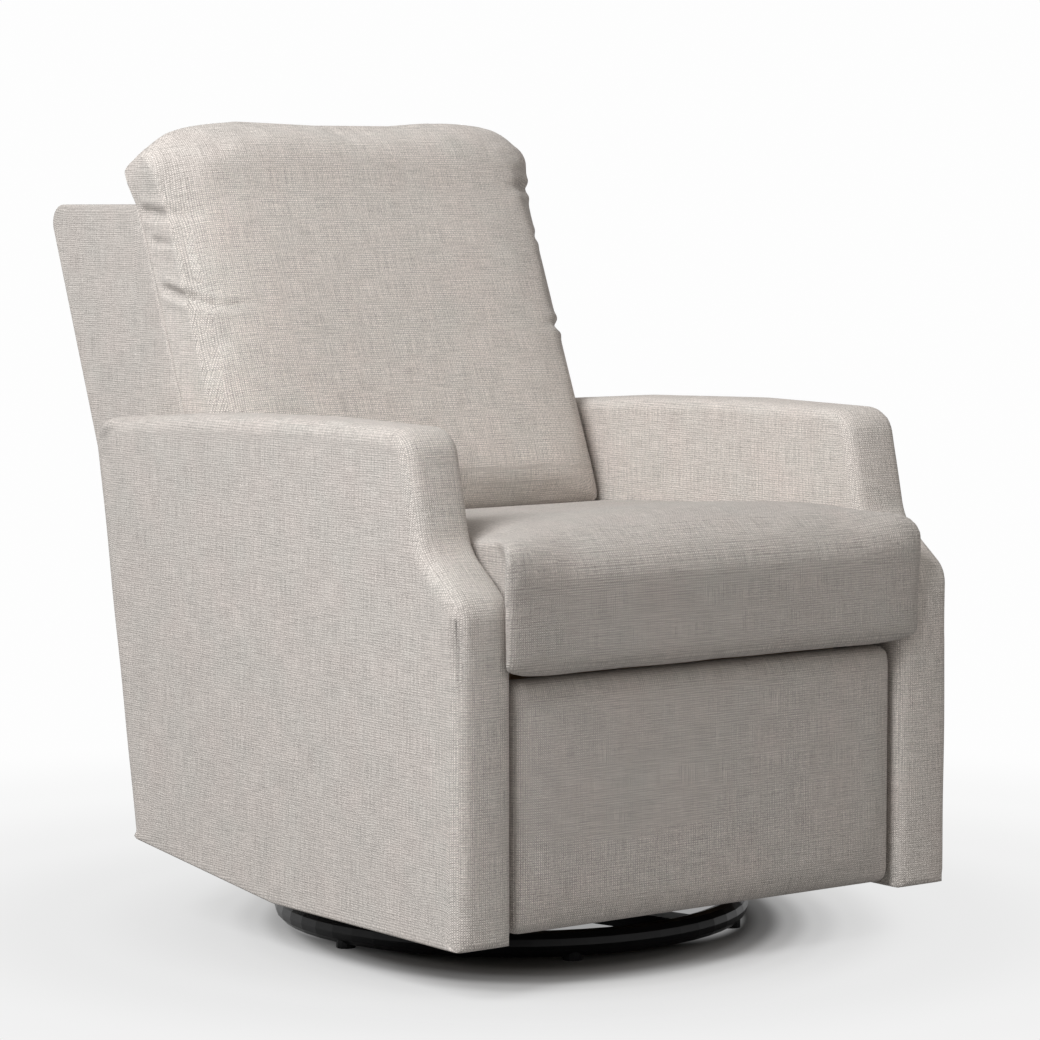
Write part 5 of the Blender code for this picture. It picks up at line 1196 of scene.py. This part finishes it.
def buildFloor():
    size = studio["size"]
    corners = np.array([(-size, -size, 0.0), (size, -size, 0.0), (size, size, 0.0), (-size, size, 0.0)])
    mesh = meshFromFaces("floor", corners, np.array([[0, 1, 2, 3]]))
    floor = bpy.data.objects.new("floor", mesh)
    mesh.materials.append(floorMaterial())
    bpy.context.scene.collection.objects.link(floor)


def buildWorld():
    world = bpy.data.worlds.new("studio")
    world.use_nodes = True
    tree = world.node_tree
    tree.nodes.clear()
    output = tree.nodes.new("ShaderNodeOutputWorld")
    tones = {"Strength": studio["ambient"], "Color": studio["ambientTint"]}
    ambient = wired(tree, tree.nodes.new("ShaderNodeBackground"), tones)
    plain = {"Color": (studio["white"],) * 3 + (1.0,)}
    white = wired(tree, tree.nodes.new("ShaderNodeBackground"), plain)
    mixedShaders(tree, whiteRays(tree), ambient.outputs[0], white.outputs[0], output)
    bpy.context.scene.world = world


def buildLamp(name):
    # a square lamp of power pi^2 d^2 value gives a white face turned to it that value
    lamp = studio[name]
    light = bpy.data.lights.new(name, "AREA")
    light.size = lamp["size"]
    light.energy = math.pi ** 2 * lamp["distance"] ** 2 * lamp["value"]
    light.color = lamp["tint"]
    toward = Vector(lamp["toward"]).normalized()
    holder = bpy.data.objects.new(name, light)
    holder.location = Vector(studio["aim"]) + toward * lamp["distance"]
    holder.rotation_euler = toward.to_track_quat("Z", "Y").to_euler()
    bpy.context.scene.collection.objects.link(holder)


view = {"azimuth": -37.06, "elevation": 4.97, "place": (-2.8187, -3.8532, 0.9067),
        "lens": 130.98, "sensor": 36.0}


def buildCamera():
    # looks along -(sin a cos e, -cos a cos e, sin e)
    azimuth, elevation = math.radians(view["azimuth"]), math.radians(view["elevation"])
    level = math.cos(elevation)
    back = Vector((math.sin(azimuth) * level, -math.cos(azimuth) * level, math.sin(elevation)))
    camera = bpy.data.cameras.new("camera")
    camera.lens = view["lens"]
    camera.sensor_width = view["sensor"]
    holder = bpy.data.objects.new("camera", camera)
    holder.location = view["place"]
    holder.rotation_euler = (-back).to_track_quat("-Z", "Y").to_euler()
    bpy.context.scene.collection.objects.link(holder)
    bpy.context.scene.camera = holder


buildFloor()
buildWorld()
buildLamp("key")
buildLamp("fill")
buildCamera()
bpy.context.scene.view_settings.view_transform = "Standard"
print("studio built")
